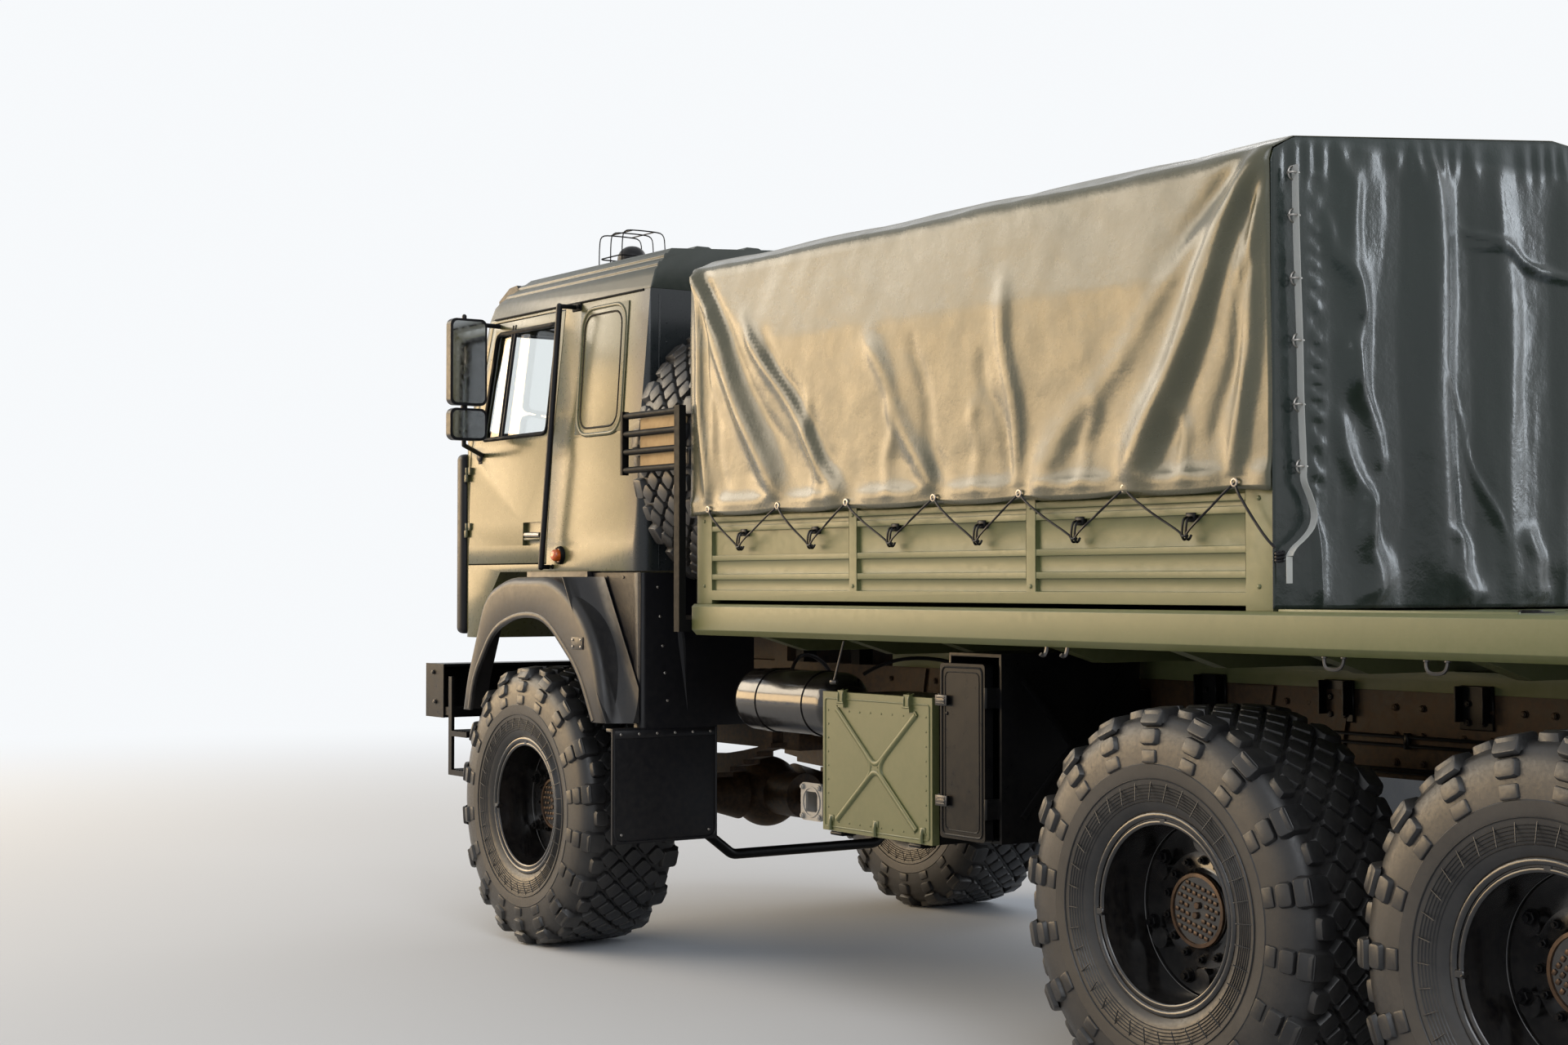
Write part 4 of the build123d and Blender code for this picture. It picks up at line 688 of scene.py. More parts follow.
tyre = {
    "tipRadius": 0.6285,
    "half": [  # outline of one half, as radius and distance from the middle
        (0.292, 0.198), (0.306, 0.206), (0.311, 0.222), (0.324, 0.232), (0.340, 0.239),
        (0.400, 0.2505), (0.430, 0.2530), (0.455, 0.2545), (0.458, 0.2520), (0.500, 0.2500), (0.545, 0.2420),
        (0.582, 0.2280), (0.602, 0.2060), (0.607, 0.1800), (0.609, 0.1200), (0.610, 0.0600),
    ],
    "ribRadii": (0.343, 0.353, 0.363, 0.373, 0.383, 0.393, 0.412),
    "ribHeight": 0.0030,
    "ribHalf": 0.0019,
    "ribFoot": (0.340, 0.239),
    "wallSlope": 0.0115 / 0.060,
    "steps": 90,
    "crownColumns": (-0.118, -0.059, 0.0, 0.059, 0.118),
    "crownRows": 36,
    "diamond": (0.0535, 0.052),
    "diamondHeight": 0.034,
    "shoulderRows": 18,
}

# Pads of the shoulder and wall: length, width, height, draft and corner of each; then its radius, its distance
# from the middle, its lean in degrees and the share of a row that it is turned by
spokeShape = (0.0030, 0.118, 0.0030, 0.90, 0.0005)
tyrePads = [
    ((0.100, 0.098, 0.040, 0.80, 0.018), 0.5848, 0.1900, 7, 0.0),
    ((0.078, 0.066, 0.034, 0.82, 0.016), 0.5925, 0.1720, 4, 0.5),
    ((0.088, 0.056, 0.016, 0.90, 0.010), 0.5940, 0.2245, 58, 0.0),
    ((0.078, 0.055, 0.018, 0.84, 0.013), 0.5370, 0.2385, 76, 0.0),
    ((0.064, 0.042, 0.011, 0.92, 0.006), 0.4785, 0.2462, 85, 0.0),
    (spokeShape, 0.4010, 0.2480, 79, 0.0),
    (spokeShape, 0.4010, 0.2480, 79, 0.5),
]


# A flat face raised with drafted sides and an eased top
def raisePad(bm, height, draft, ease):
    raised = bmesh.ops.extrude_face_region(bm, geom=list(bm.faces))["geom"]
    top = [v for v in raised if isinstance(v, bmesh.types.BMVert)]
    bmesh.ops.translate(bm, verts=top, vec=(0, 0, height))
    bmesh.ops.scale(bm, verts=top, vec=(draft, draft, 1))
    bevelEdges(bm, [e for e in bm.edges if all(v in top for v in e.verts)], ease, 2)
    return unitMesh(bm)


def diamondUnit():
    bm = bmesh.new()
    made = bmesh.ops.create_circle(bm, cap_ends=True, segments=4, radius=1.0)["verts"]
    bmesh.ops.transform(bm, matrix=Matrix.Diagonal((*tyre["diamond"], 1, 1)), verts=made)
    roundCorners(bm, 0.011, 1)
    return raisePad(bm, tyre["diamondHeight"], 0.86, 0.004)


# Long along the tyre's turn, wide across it
def padUnit(length, width, height, draft, corner):
    bm = bmesh.new()
    made = bmesh.ops.create_grid(bm, x_segments=1, y_segments=1, size=0.5)["verts"]
    bmesh.ops.transform(bm, matrix=Matrix.Diagonal((width, length, 1, 1)), verts=made)
    roundCorners(bm, corner, 2)
    return raisePad(bm, height, draft, 0.003)


# Stands a pad, made flat on XY, on the tyre: its height along the wall's normal
def onTyre(angle, radius, along, lean):
    turn = Matrix(((0, 0, 1, 0), (1, 0, 0, 0), (0, 1, 0, 0), (0, 0, 0, 1)))
    return aboutY(angle) @ Matrix.Translation((radius, along, 0)) @ Matrix.Rotation(lean, 4, "Z") @ turn


def tyreMesh():
    t = tyre
    bm = bmesh.new()
    spinOutline(bm, [(r, -u) for r, u in t["half"]] + [(r, u) for r, u in reversed(t["half"])], t["steps"])
    bmesh.ops.remove_doubles(bm, verts=bm.verts, dist=0.00005)
    footRadius, footWall = t["ribFoot"]
    for side in (-1, 1):
        for radius in t["ribRadii"]:
            wall, wide = side * (footWall + t["wallSlope"] * (radius - footRadius)), t["ribHalf"]
            ring = [(radius - wide, wall), (radius, wall + side * t["ribHeight"]), (radius + wide, wall)]
            spinOutline(bm, ring + [(radius, wall - side * 0.002)], t["steps"])
    bmesh.ops.recalc_face_normals(bm, faces=bm.faces)
    step, sunk = tau / t["crownRows"], t["tipRadius"] - t["diamondHeight"]
    addCopies(bm, diamondUnit(), [
        onTyre((row + 0.5 * (column % 2)) * step, sunk, along, 0)
        for column, along in enumerate(t["crownColumns"]) for row in range(t["crownRows"])
    ])
    pads = [(padUnit(*shape), *place) for shape, *place in tyrePads]
    step = tau / t["shoulderRows"]
    for side in (-1, 1):
        for row in range(t["shoulderRows"]):
            angle = (row + (0.25 if side > 0 else 0.0)) * step + radians(side * 2)
            for unit, radius, along, lean, share in pads:
                addCopies(bm, unit, [onTyre(angle + share * step, radius, side * along, side * radians(lean))])
    return unitMesh(bm, closed=False)


# Each tyre's place, facing outwards, and the body that carries it
def wheelPlaces():
    places = {}
    for node in cadNodes:
        if node.startswith("tyre_"):
            low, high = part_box(node)
            turn = facing(1 if node.endswith("left") else -1)
            places[node] = (Matrix.Translation((low + high) / 2) @ turn, node.replace("tyre", "wheel"))
    low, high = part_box("spare_tyre")
    places["spare_tyre"] = (Matrix.Translation((low + high) / 2) @ Matrix.Rotation(pi / 2, 4, "Z"), "root")
    return places


wheelSpots = wheelPlaces()
treaded = tyreMesh()
for node, (place, body) in wheelSpots.items():
    bm = bmesh.new()
    addCopies(bm, treaded, [place @ aboutY(random.Random(node).uniform(0, tau))])
    keepPiece(node + "_tread", bm, body, "tyreRubber", 32, (node,))
print("tyres made:", len(treaded.polygons), "faces each")


# Canopy: one cover over both sides and the roof, with a curtain at each end

canopy = {
    "frontX": 1.8155,
    "rearX": -1.3850,
    "section": [(1.286, 1.903), (1.286, 2.872), (1.276, 2.906), (1.190, 2.949), (0.0, 3.0625)],
    "hemZ": 1.903,
    "columns": 190,
    "sectionStep": 0.018,
    "bandHeight": 2.57,
    "bandProud": 0.020,
    "bandReach": (0.30, 0.62),  # above and below its height
    "bandByBows": 0.4,
    "clearXs": (-1.30, 1.66),  # between the end bows
    "eaveZ": 2.93,
    "eaveSoft": 0.06,
    "turned": (-0.14, -0.9),  # shift and scale of the folds on the right side
    "roofWaves": 0.35,
    "hemHeight": 0.032,
    "hemProud": 0.005,
    "bowXs": (1.784, 0.996, 0.195, -0.604, -1.354),
    "roofSag": 0.007,
    "wall": 0.0025,
    "eyelets": (1.669, 1.171, 0.721, 0.200, -0.261, -0.770, -1.246),
    "eyeletZ": 1.932,
    "foldShare": 0.92,
    "foldLead": 0.15,
    "foldEnd": 1.12,
    "foldBend": 0.012,
    "foldEases": (0.25, 0.22),
    "lowBand": 0.16,
    "pull": (0.012, 0.09, 0.002),  # between the eyelets: rise, width and how far it is held in at them
    "puff": (0.013, 0.08, 1.952, 0.026),  # rise, width, height and spread
    "lift": (0.010, 0.10, 0.047),  # at each eyelet: rise, width and height of the part lifted
    "liftBelow": 1.95,
    "edgeSoft": 0.03,
    "edgeShare": (0.35, 0.65),
    "inMost": -0.006,
    "outMost": 0.042,
}
curtain = {
    "width": 2.572,
    "sewnHalf": 1.10,
    "sewn": (0.006, 0.022),  # rise and width of the sewn strip's puckers
    "sewnZs": (1.90, 2.85),
    "stripHalf": 1.13,
    "stripShare": 0.25,
    "half": 1.286,
    "roofHalf": 1.2855,
    "gap": 0.004,
    "hangSoft": 0.10,
    "edgeSoft": 0.05,
    "gathers": (0.005, 0.07, 0.05),  # rise, distance below the top and spread
    "flare": (0.012, 0.25),
    "foldShare": 1.15,
    "waveShare": 1.6,
    "inMost": -0.004,
    "outMost": 0.040,
}

# Folds of the side, each from a point to another as (x, z), its width at both ends and its height
sideFolds = [
    (1.790, 2.900, 1.180, 1.935, 0.030, 0.060, 0.030),
    (1.700, 2.860, 1.120, 2.100, 0.020, 0.050, -0.014),
    (1.370, 2.620, 0.735, 1.930, 0.030, 0.055, 0.022),
    (1.240, 2.560, 0.800, 2.060, 0.030, 0.040, -0.012),
    (0.560, 2.500, 0.215, 1.940, 0.045, 0.045, 0.017),
    (0.300, 2.480, 0.180, 2.000, 0.030, 0.040, -0.010),
    (-0.180, 2.620, -0.262, 1.950, 0.040, 0.035, 0.015),
    (-0.060, 2.400, -0.230, 2.000, 0.030, 0.030, -0.008),
    (-1.340, 2.890, -0.790, 1.945, 0.035, 0.075, 0.038),
    (-1.240, 2.860, -0.480, 2.060, 0.030, 0.085, -0.014),
    (-1.345, 2.800, -0.930, 2.000, 0.030, 0.060, -0.013),
    (-1.130, 2.700, -0.330, 1.960, 0.040, 0.070, 0.020),
    (-1.362, 2.820, -1.245, 1.950, 0.022, 0.036, 0.020),
    (-1.330, 2.600, -1.160, 2.050, 0.020, 0.030, -0.008),
    (1.772, 2.860, 1.690, 1.960, 0.020, 0.032, 0.017),
    (1.640, 2.420, 1.560, 2.000, 0.022, 0.034, -0.008),
    (0.980, 2.330, 0.900, 1.960, 0.030, 0.036, 0.009),
    (0.440, 2.260, 0.480, 1.960, 0.030, 0.036, 0.008),
    (-0.020, 2.240, -0.040, 1.960, 0.028, 0.034, 0.007),
    (-0.640, 2.220, -0.560, 1.960, 0.030, 0.036, 0.008),
    (-1.010, 2.180, -1.040, 1.950, 0.026, 0.030, 0.008),
]

# Folds of the rear curtain, as (y, z)
rearFolds = [
    (0.600, 2.920, 0.585, 1.600, 0.070, 0.110, 0.030),
    (0.760, 2.900, 0.800, 1.750, 0.060, 0.070, -0.012),
    (0.280, 2.900, 0.240, 1.600, 0.060, 0.090, 0.020),
    (0.440, 2.820, 0.430, 1.700, 0.050, 0.060, -0.010),
    (-0.060, 2.920, -0.020, 1.600, 0.060, 0.080, 0.024),
    (-0.380, 2.900, -0.330, 1.600, 0.060, 0.090, 0.020),
    (-0.700, 2.900, -0.660, 1.600, 0.060, 0.090, 0.026),
    (-0.980, 2.860, -1.010, 1.620, 0.050, 0.060, 0.018),
    (0.960, 2.880, 0.930, 2.200, 0.040, 0.060, 0.016),
    (0.980, 2.350, 0.800, 1.980, 0.035, 0.045, 0.015),
    (1.020, 2.120, 0.860, 1.780, 0.030, 0.040, 0.013),
    (1.060, 2.700, 0.900, 2.440, 0.030, 0.035, 0.011),
    (0.420, 2.735, -0.060, 2.590, 0.010, 0.014, 0.012),
    (0.400, 2.700, 0.020, 2.620, 0.010, 0.014, 0.009),
    (0.530, 2.270, 0.300, 1.790, 0.010, 0.014, 0.009),
    (0.905, 1.900, 0.870, 1.585, 0.040, 0.075, 0.026),
    (0.500, 1.800, 0.470, 1.585, 0.040, 0.070, 0.018),
    (0.160, 1.800, 0.120, 1.585, 0.040, 0.070, 0.018),
    (-0.560, 1.800, -0.520, 1.585, 0.040, 0.070, 0.018),
    (1.160, 1.960, 1.120, 1.585, 0.030, 0.045, 0.016),
]


def clamp(value, low=0.0, high=1.0):
    return min(high, max(low, value))


def bell(distance, width):
    return exp(-((distance / width) ** 2))


# Height of all the folds at a place: a bell across each, which comes in before its start and fades past its end
def foldHeight(u, v, folds):
    lead, last, bend = canopy["foldLead"], canopy["foldEnd"], canopy["foldBend"]
    easeIn, easeOut = canopy["foldEases"]
    height = 0.0
    for u0, v0, u1, v1, widthStart, widthEnd, rise in folds:
        du, dv = u1 - u0, v1 - v0
        length = hypot(du, dv)
        along = ((u - u0) * du + (v - v0) * dv) / (length * length)
        if -lead < along < last:
            across = ((u - u0) * dv - (v - v0) * du) / length + bend * sin(9 * along + u0 * 5)
            width = widthStart + (widthEnd - widthStart) * clamp(along)
            if abs(across) < 3 * width:
                ease = clamp((along + lead) / easeIn) * clamp((last - along) / easeOut)
                height += rise * ease * ease * (3 - 2 * ease) * bell(across, width)
    return height


# Unevenness of hanging cloth at three sizes
def wavesAt(u, v, seed):
    broad = noise.noise((u * 1.3 + seed, v * 0.9, seed))
    middle = noise.noise((u * 4.1, v * 2.2 + seed, seed + 3.0))
    fine = noise.noise((u * 11.0 + seed, v * 7.0, seed + 9.0))
    return 0.008 * broad + 0.0045 * middle + 0.0018 * fine


# A section's outline in even steps
def sectionPath(points, step):
    path = []
    for (y0, z0), (y1, z1) in zip(points, points[1:]):
        count = max(1, ceil(hypot(y1 - y0, z1 - z0) / step))
        path += [(y0 + (y1 - y0) * k / count, z0 + (z1 - z0) * k / count) for k in range(count)]
    return path + [points[-1]]


def softSheet(name, bm, look):
    bmesh.ops.recalc_face_normals(bm, faces=bm.faces)
    sheet = keepPiece(name, bm, "root", look, 180, ("canopy",))
    wall = sheet.modifiers.new("wall", "SOLIDIFY")
    wall.thickness = canopy["wall"]
    wall.offset = -1
    return sheet


# How far the cover stands out of its section at a place; u is x, turned about on the right side
def coverDrop(x, u, y, z, upright, near):
    c = canopy
    drop = c["foldShare"] * foldHeight(u, z, sideFolds) * upright
    above, below = c["bandReach"]
    band = max(0.0, 1 - abs(z - c["bandHeight"]) / (above if z > c["bandHeight"] else below))
    low, high = c["clearXs"]
    drop += c["bandProud"] * band * upright * (1.0 if low < x < high else c["bandByBows"])
    drop += wavesAt(u, z, 3.0 if y > 0 else 1.0) * (1.0 if upright else c["roofWaves"])
    if not upright:  # the roof hangs a little between the bows
        bays = min(abs(x - bow) for bow in c["bowXs"]) / 0.4
        drop -= c["roofSag"] * min(1.0, bays) ** 2
    rise, width, held = c["pull"]
    drop += max(0.0, 1 - (z - c["hemZ"]) / c["lowBand"]) * upright * (rise * (1 - bell(near, width)) - held)
    rise, width, height, spread = c["puff"]
    drop += rise * (1 - bell(near, width)) * bell(z - height, spread) * upright
    drop += c["hemProud"] if z < c["hemZ"] + c["hemHeight"] else 0.0
    return clamp(drop, c["inMost"], c["outMost"])


def coverSheet():
    c = canopy
    shift, scale = c["turned"]
    inner, outer = c["edgeShare"]
    rise, width, height = c["lift"]
    right = sectionPath(c["section"], c["sectionStep"])
    path = right + [(-y, z) for y, z in reversed(right[:-1])]
    bm = bmesh.new()
    bmesh.ops.create_grid(bm, x_segments=c["columns"], y_segments=len(path) - 1, size=0.5)
    bm.verts.ensure_lookup_table()
    across = len(path) - 1
    for vert in bm.verts:
        share = vert.co.x + 0.5
        x = c["frontX"] + (c["rearX"] - c["frontX"]) * share
        index = round((vert.co.y + 0.5) * across)
        y, z = path[index]
        ahead, behind = path[min(index + 1, across)], path[max(index - 1, 0)]
        run = Vector((0, ahead[0] - behind[0], ahead[1] - behind[1])).normalized()
        out = Vector((0, run.z, -run.y))
        upright = clamp((c["eaveZ"] - z) / c["eaveSoft"])
        u = x if y > 0 else shift + scale * x
        near = min(abs(u - eyelet) for eyelet in c["eyelets"])
        edge = min(1.0, min(c["frontX"] - x, x - c["rearX"]) / c["edgeSoft"])
        vert.co = Vector((x, y, z)) + out * coverDrop(x, u, y, z, upright, near) * (inner + outer * edge)
        if z < c["liftBelow"] and upright:  # the rope lifts the hem at each eyelet
            vert.co.z += rise * bell(near, width) * max(0.0, 1 - (z - c["hemZ"]) / height)
    return softSheet("canopy_cover", bm, "tarpaulin")


def roofHeight(y):
    section = canopy["section"]
    for (y0, z0), (y1, z1) in zip(section[1:], section[2:]):
        if y1 <= abs(y) <= y0:
            return z0 + (z1 - z0) * (y0 - abs(y)) / (y0 - y1) if y0 != y1 else z1
    return section[-1][1]


# A curtain that hangs from the end bow: folds, gathers under the top, sewn strips at its sides and a flared foot
def endCurtain(name, x, out, lowZ, folds, seed, columns, rows):
    c = curtain
    gather, below, spread = c["gathers"]
    sewn, sewnWidth = c["sewn"]
    sewnLow, sewnHigh = c["sewnZs"]
    flare, flareHeight = c["flare"]
    bm = bmesh.new()
    bmesh.ops.create_grid(bm, x_segments=columns, y_segments=rows, size=0.5)
    for vert in bm.verts:
        y = c["width"] * vert.co.x
        top = roofHeight(min(abs(y), c["roofHalf"])) - c["gap"]
        z = lowZ + (top - lowZ) * (vert.co.y + 0.5)
        drop = c["foldShare"] * foldHeight(y, z, folds) + c["waveShare"] * wavesAt(y * 1.9, z * 0.6, seed)
        hang = min(1.0, (top - z) / c["hangSoft"])
        edge = min(1.0, (c["half"] - abs(y)) / c["edgeSoft"])
        strip = 1.0 if abs(y) < c["stripHalf"] else c["stripShare"]
        gathers = gather * sin(y * 74 + 3 * sin(y * 11)) * bell(top - z - below, spread)
        seam = sewn * sin(z * 96 + 2 * sin(z * 17)) * bell(abs(y) - c["sewnHalf"], sewnWidth)
        seam *= 1.0 if sewnLow < z < sewnHigh else 0.0
        foot = flare * max(0.0, 1 - (z - lowZ) / flareHeight) * (1 + sin(y * 9 + seed))
        drop = clamp(drop * hang * edge * strip + gathers * edge + seam + foot * edge, c["inMost"], c["outMost"])
        vert.co = Vector((x + out * (drop + c["gap"]), y, z))
    bmesh.ops.recalc_face_normals(bm, faces=bm.faces)
    return softSheet(name, bm, "shadedEndTarp")


coverSheet()
endCurtain("canopy_rear_curtain", canopy["rearX"] + 0.001, -1, 1.560, rearFolds, 5.0, 200, 116)
endCurtain("canopy_front_curtain", canopy["frontX"] - 0.003, 1, 1.915, rearFolds[:9], 8.0, 120, 66)
print("canopy made")


# Wheels: nuts, the cast cap of each hub, and the rims' edges with their valve

wheel = {
    "bosses": (6, 0.213, 0.060),  # count, circle and face
    "studs": (14, 0.153, 0.050),
    "capFace": 0.076,
    "waffleStep": 0.0235,
    "waffleSize": 0.015,
    "edges": [(0.3000, 0.2200, 0.0115), (0.2775, 0.2160, 0.0085), (0.2735, 0.0400, 0.0045)],
}


def hubNuts():
    nuts = bmesh.new()
    for key, nut, turned in (("bosses", nutUnit(0.034, 0.020, 0.010), 0.5), ("studs", nutUnit(0.021, 0.014, 0.008), 0)):
        count, circle, face = wheel[key]
        addCopies(nuts, nut, [aboutY(tau / count * (k + turned)) @ standing(circle, face, 0, 1) for k in range(count)])
    return unitMesh(nuts, closed=False)


def hubCap():
    face, step, size = wheel["capFace"], wheel["waffleStep"], wheel["waffleSize"]
    block, cap = newMeshes(2)
    addBlock(block, (-0.5, -0.5, 0), (0.5, 0.5, 1), 0.12)
    tile = unitMesh(block)
    spinOutline(cap, [(0.100, face - 0.004), (0.116, face - 0.004), (0.114, face + 0.004), (0.103, face + 0.005)], 40)
    for column in range(-4, 5):
        for row in range(-4, 5):
            x, z = (column + 0.5 * (row % 2)) * step, row * step
            if 0.030 < hypot(x, z) < 0.094:
                shape = Matrix.Diagonal((size, size * 0.8, 0.0055, 1))
                addCopies(cap, tile, [standing(x, face - 0.001, z, 1) @ shape])
    for z in (-0.016, 0.016):
        addRod(cap, (0, face - 0.002, z), (0, face + 0.010, z), 0.011, 12, ease=0.002)
    return unitMesh(cap)


def rimEdges():
    edges = bmesh.new()
    for radius, along, half in wheel["edges"]:
        angles = [tau * k / 10 for k in range(10)]
        spinOutline(edges, [(radius + half * cos(a), along + 0.7 * half * sin(a)) for a in angles], 64)
    addBlock(edges, (-0.012, 0.196, 0.272), (0.012, 0.222, 0.300), 0.002)
    addRod(edges, (0.288, 0.150, -0.010), (0.262, 0.236, -0.030), 0.005, 8)
    addBlock(edges, (0.262, 0.200, -0.034), (0.292, 0.228, -0.012), 0.003)
    return unitMesh(edges)


wheelParts = (("nuts", hubNuts(), "blackPaint"), ("cap", hubCap(), "rustyBronze"), ("edges", rimEdges(), "rimPaint"))
for node, (place, body) in wheelSpots.items():
    if node == "spare_tyre":
        continue
    turned = place @ aboutY(random.Random(node).uniform(0, tau))
    for part, mesh, look in wheelParts:
        bm = bmesh.new()
        addCopies(bm, mesh, [place if part == "edges" else turned])
        keepPiece(f"{node}_{part}", bm, body, look, 40)
print("hubs dressed")


# Lacing of the canopy: eyelets, hooks on the boards and the rope between them

lacing = {
    "ropeRadius": 0.0042,
    "ropeY": 1.306,
    "hookXs": (1.451, 0.962, 0.461, -0.029, -0.528, -1.033),
    "hookY": 1.268,
    "hookZ": 1.803,
    "hookShape": (  # steps outwards and up from the hook's middle
        (0, 0.030), (0.012, 0.034), (0.026, 0.020), (0.030, -0.014), (0.026, -0.034), (0.014, -0.038), (0.006, -0.022),
    ),
    "eyeletRadius": 0.0125,
    "knotX": -1.402,
    "strapWidth": 0.025,
    "strapX": -1.4165,
    "strapTop": (1.217, 2.856),
    "staples": [(1.217, 2.833), (1.215, 2.708), (1.209, 2.524), (1.201, 2.343), (1.199, 2.156), (1.190, 1.975)],
    "tail": [
        (1.190, 1.975), (1.196, 1.935), (1.170, 1.890), (1.150, 1.842), (1.160, 1.800), (1.200, 1.765),
        (1.250, 1.735), (1.262, 1.714),
    ],
}
sixths = [tau * k / 6 for k in range(6)]


def laceSide(side):
    r = lacing
    name, xs = sideNames[side], canopy["eyelets"]
    eyelets, hooks, rope = newMeshes(3)

    def lay(radius, points, cyclic=False):
        addTube(rope, toSide(points, side), radius, cyclic=cyclic)

    size = r["eyeletRadius"]
    ring = ringUnit([(size * 0.55, 0.0), (size * 0.68, 0.0035), (size * 1.05, 0.0028), (size * 1.15, 0.0)], 20)
    addCopies(eyelets, ring, [Matrix.Translation((x, side * 1.2985, canopy["eyeletZ"])) @ facing(side) for x in xs])
    for x in r["hookXs"]:
        for shift in (-0.008, 0.008):
            points = [(x + shift, r["hookY"] + out, r["hookZ"] + up) for out, up in r["hookShape"]]
            addTube(hooks, toSide(points, side), 0.0040)
        low, high = (x - 0.020, 1.252, r["hookZ"] + 0.018), (x + 0.020, 1.272, r["hookZ"] + 0.046)
        addSideBlock(hooks, side, low, high, 0.002)
    eyeletZ, hookZ, y = canopy["eyeletZ"], r["hookZ"] - 0.024, r["ropeY"]
    for start, hook, end in zip(xs, r["hookXs"], xs[1:]):
        for x0, x1 in ((start, hook + 0.010), (end, hook - 0.010)):
            bend = 0.004 if x0 > x1 else -0.004
            lay(r["ropeRadius"], [
                (x0, 1.284, eyeletZ), (x0 - bend, y, eyeletZ - 0.006),
                ((x0 + x1) / 2, y + 0.001, (eyeletZ + hookZ) / 2 - 0.003),
                (x1 + bend, y - 0.006, hookZ + 0.012), (x1 - bend, y - 0.012, hookZ),
            ])
        lay(r["ropeRadius"], [(hook + dx, y - dy, hookZ + dz) for dx, dy, dz in (
            (0.014, 0.010, 0.004), (0, 0.006, -0.008), (-0.014, 0.010, 0.004),
        )])
    lay(r["ropeRadius"], [
        (xs[-1], 1.286, eyeletZ), (xs[-1] - 0.004, y, eyeletZ - 0.008), (xs[-1] - 0.060, y - 0.004, 1.845),
        (r["knotX"] + 0.019, 1.303, 1.757), (r["knotX"], 1.292, 1.738),
    ])
    for k in range(3):
        z = 1.722 - 0.010 * k
        lay(0.0052, [
            (r["knotX"] + 0.011 * cos(a), 1.272 + 0.016 * sin(a), z + 0.004 * cos(a + 1)) for a in sixths
        ], cyclic=True)
    keepPiece(f"eyelets_{name}", eyelets, "root", "bareSteel")
    keepPiece(f"hooks_{name}", hooks, "root", "blackPaint")
    keepPiece(f"lacing_{name}", rope, "root", "blackPlastic", 60)


# The webbing strap through its staples on the rear curtain
def strapSide(side):
    r = lacing
    name, x = sideNames[side], r["strapX"]
    staples, strap = newMeshes(2)
    for y, z in r["staples"]:
        y *= side
        steps = ((0.012, -0.019), (-0.004, -0.019), (-0.007, 0), (-0.004, 0.019), (0.012, 0.019))
        addTube(staples, [(x + dx, y + dy, z) for dx, dy in steps], 0.0032)
        addTube(staples, [(x + 0.010, y + 0.020 * cos(a), z + 0.022 * sin(a)) for a in sixths], 0.0030, cyclic=True)
    route = [(x, y, z) for y, z in [r["strapTop"]] + r["staples"][:-1]]
    route += [(x - 0.002 - 0.010 * k / 7, y, z) for k, (y, z) in enumerate(r["tail"])]
    band = curveMesh(toSide(route, side), False, 8, tilt=pi / 2, extrude=r["strapWidth"] / 2)
    strap.from_mesh(band)
    bmesh.ops.remove_doubles(strap, verts=strap.verts, dist=0.0001)
    bmesh.ops.solidify(strap, geom=list(strap.faces), thickness=0.0022)
    addSideBlock(strap, side, (x - 0.0152, 1.2515, 1.634), (x - 0.0128, 1.2765, 1.712), 0.0008)
    bmesh.ops.recalc_face_normals(strap, faces=strap.faces)
    keepPiece(f"staples_{name}", staples, "root", "bareSteel", 60)
    keepPiece(f"strap_{name}", strap, "root", "strapWebbing", 40)


for side in (1, -1):
    laceSide(side)
    strapSide(side)
print("lacing made")


# Arch, mudguard and flap: lip, screws, plate, crease and beads

fender = {
    "faceY": 1.345,
    "guardX": 2.350,
    "screws": [(1.125, 1.620), (1.113, 1.494), (1.100, 1.368), (1.088, 1.252), (1.075, 1.133)],
    "crease": ((1.035, 1.600), (0.972, 1.085)),
    "creaseRadius": 0.018,
    "flap": (0.830, 1.337, 0.540, 1.012),
    "flapBar": (0.004, 0.034),
    "flapBead": 0.0045,
    "flapCorner": (0.02, 0.08, 0.05),  # the cut, the straight beside it and the straight below the bar
    "plate": (2.606, 2.706, 1.349, 1.403),
    "plateProud": 0.005,
    "axle": (3.2, 0.98),
    "lipInset": 0.014,
    "lipRadius": 0.013,
    "lipFlat": 0.32,
    "lip": [
        (3.700, 1.044), (3.678, 1.123), (3.653, 1.185), (3.616, 1.241), (3.574, 1.289), (3.533, 1.338),
        (3.500, 1.371), (3.462, 1.399), (3.422, 1.422), (3.378, 1.439), (3.325, 1.455), (3.239, 1.474),
        (3.151, 1.481), (3.098, 1.481), (3.037, 1.476), (2.978, 1.462), (2.923, 1.438), (2.871, 1.406),
        (2.807, 1.359), (2.743, 1.311), (2.704, 1.279), (2.669, 1.244), (2.637, 1.206), (2.609, 1.165),
        (2.571, 1.103), (2.536, 1.044),
    ],
}


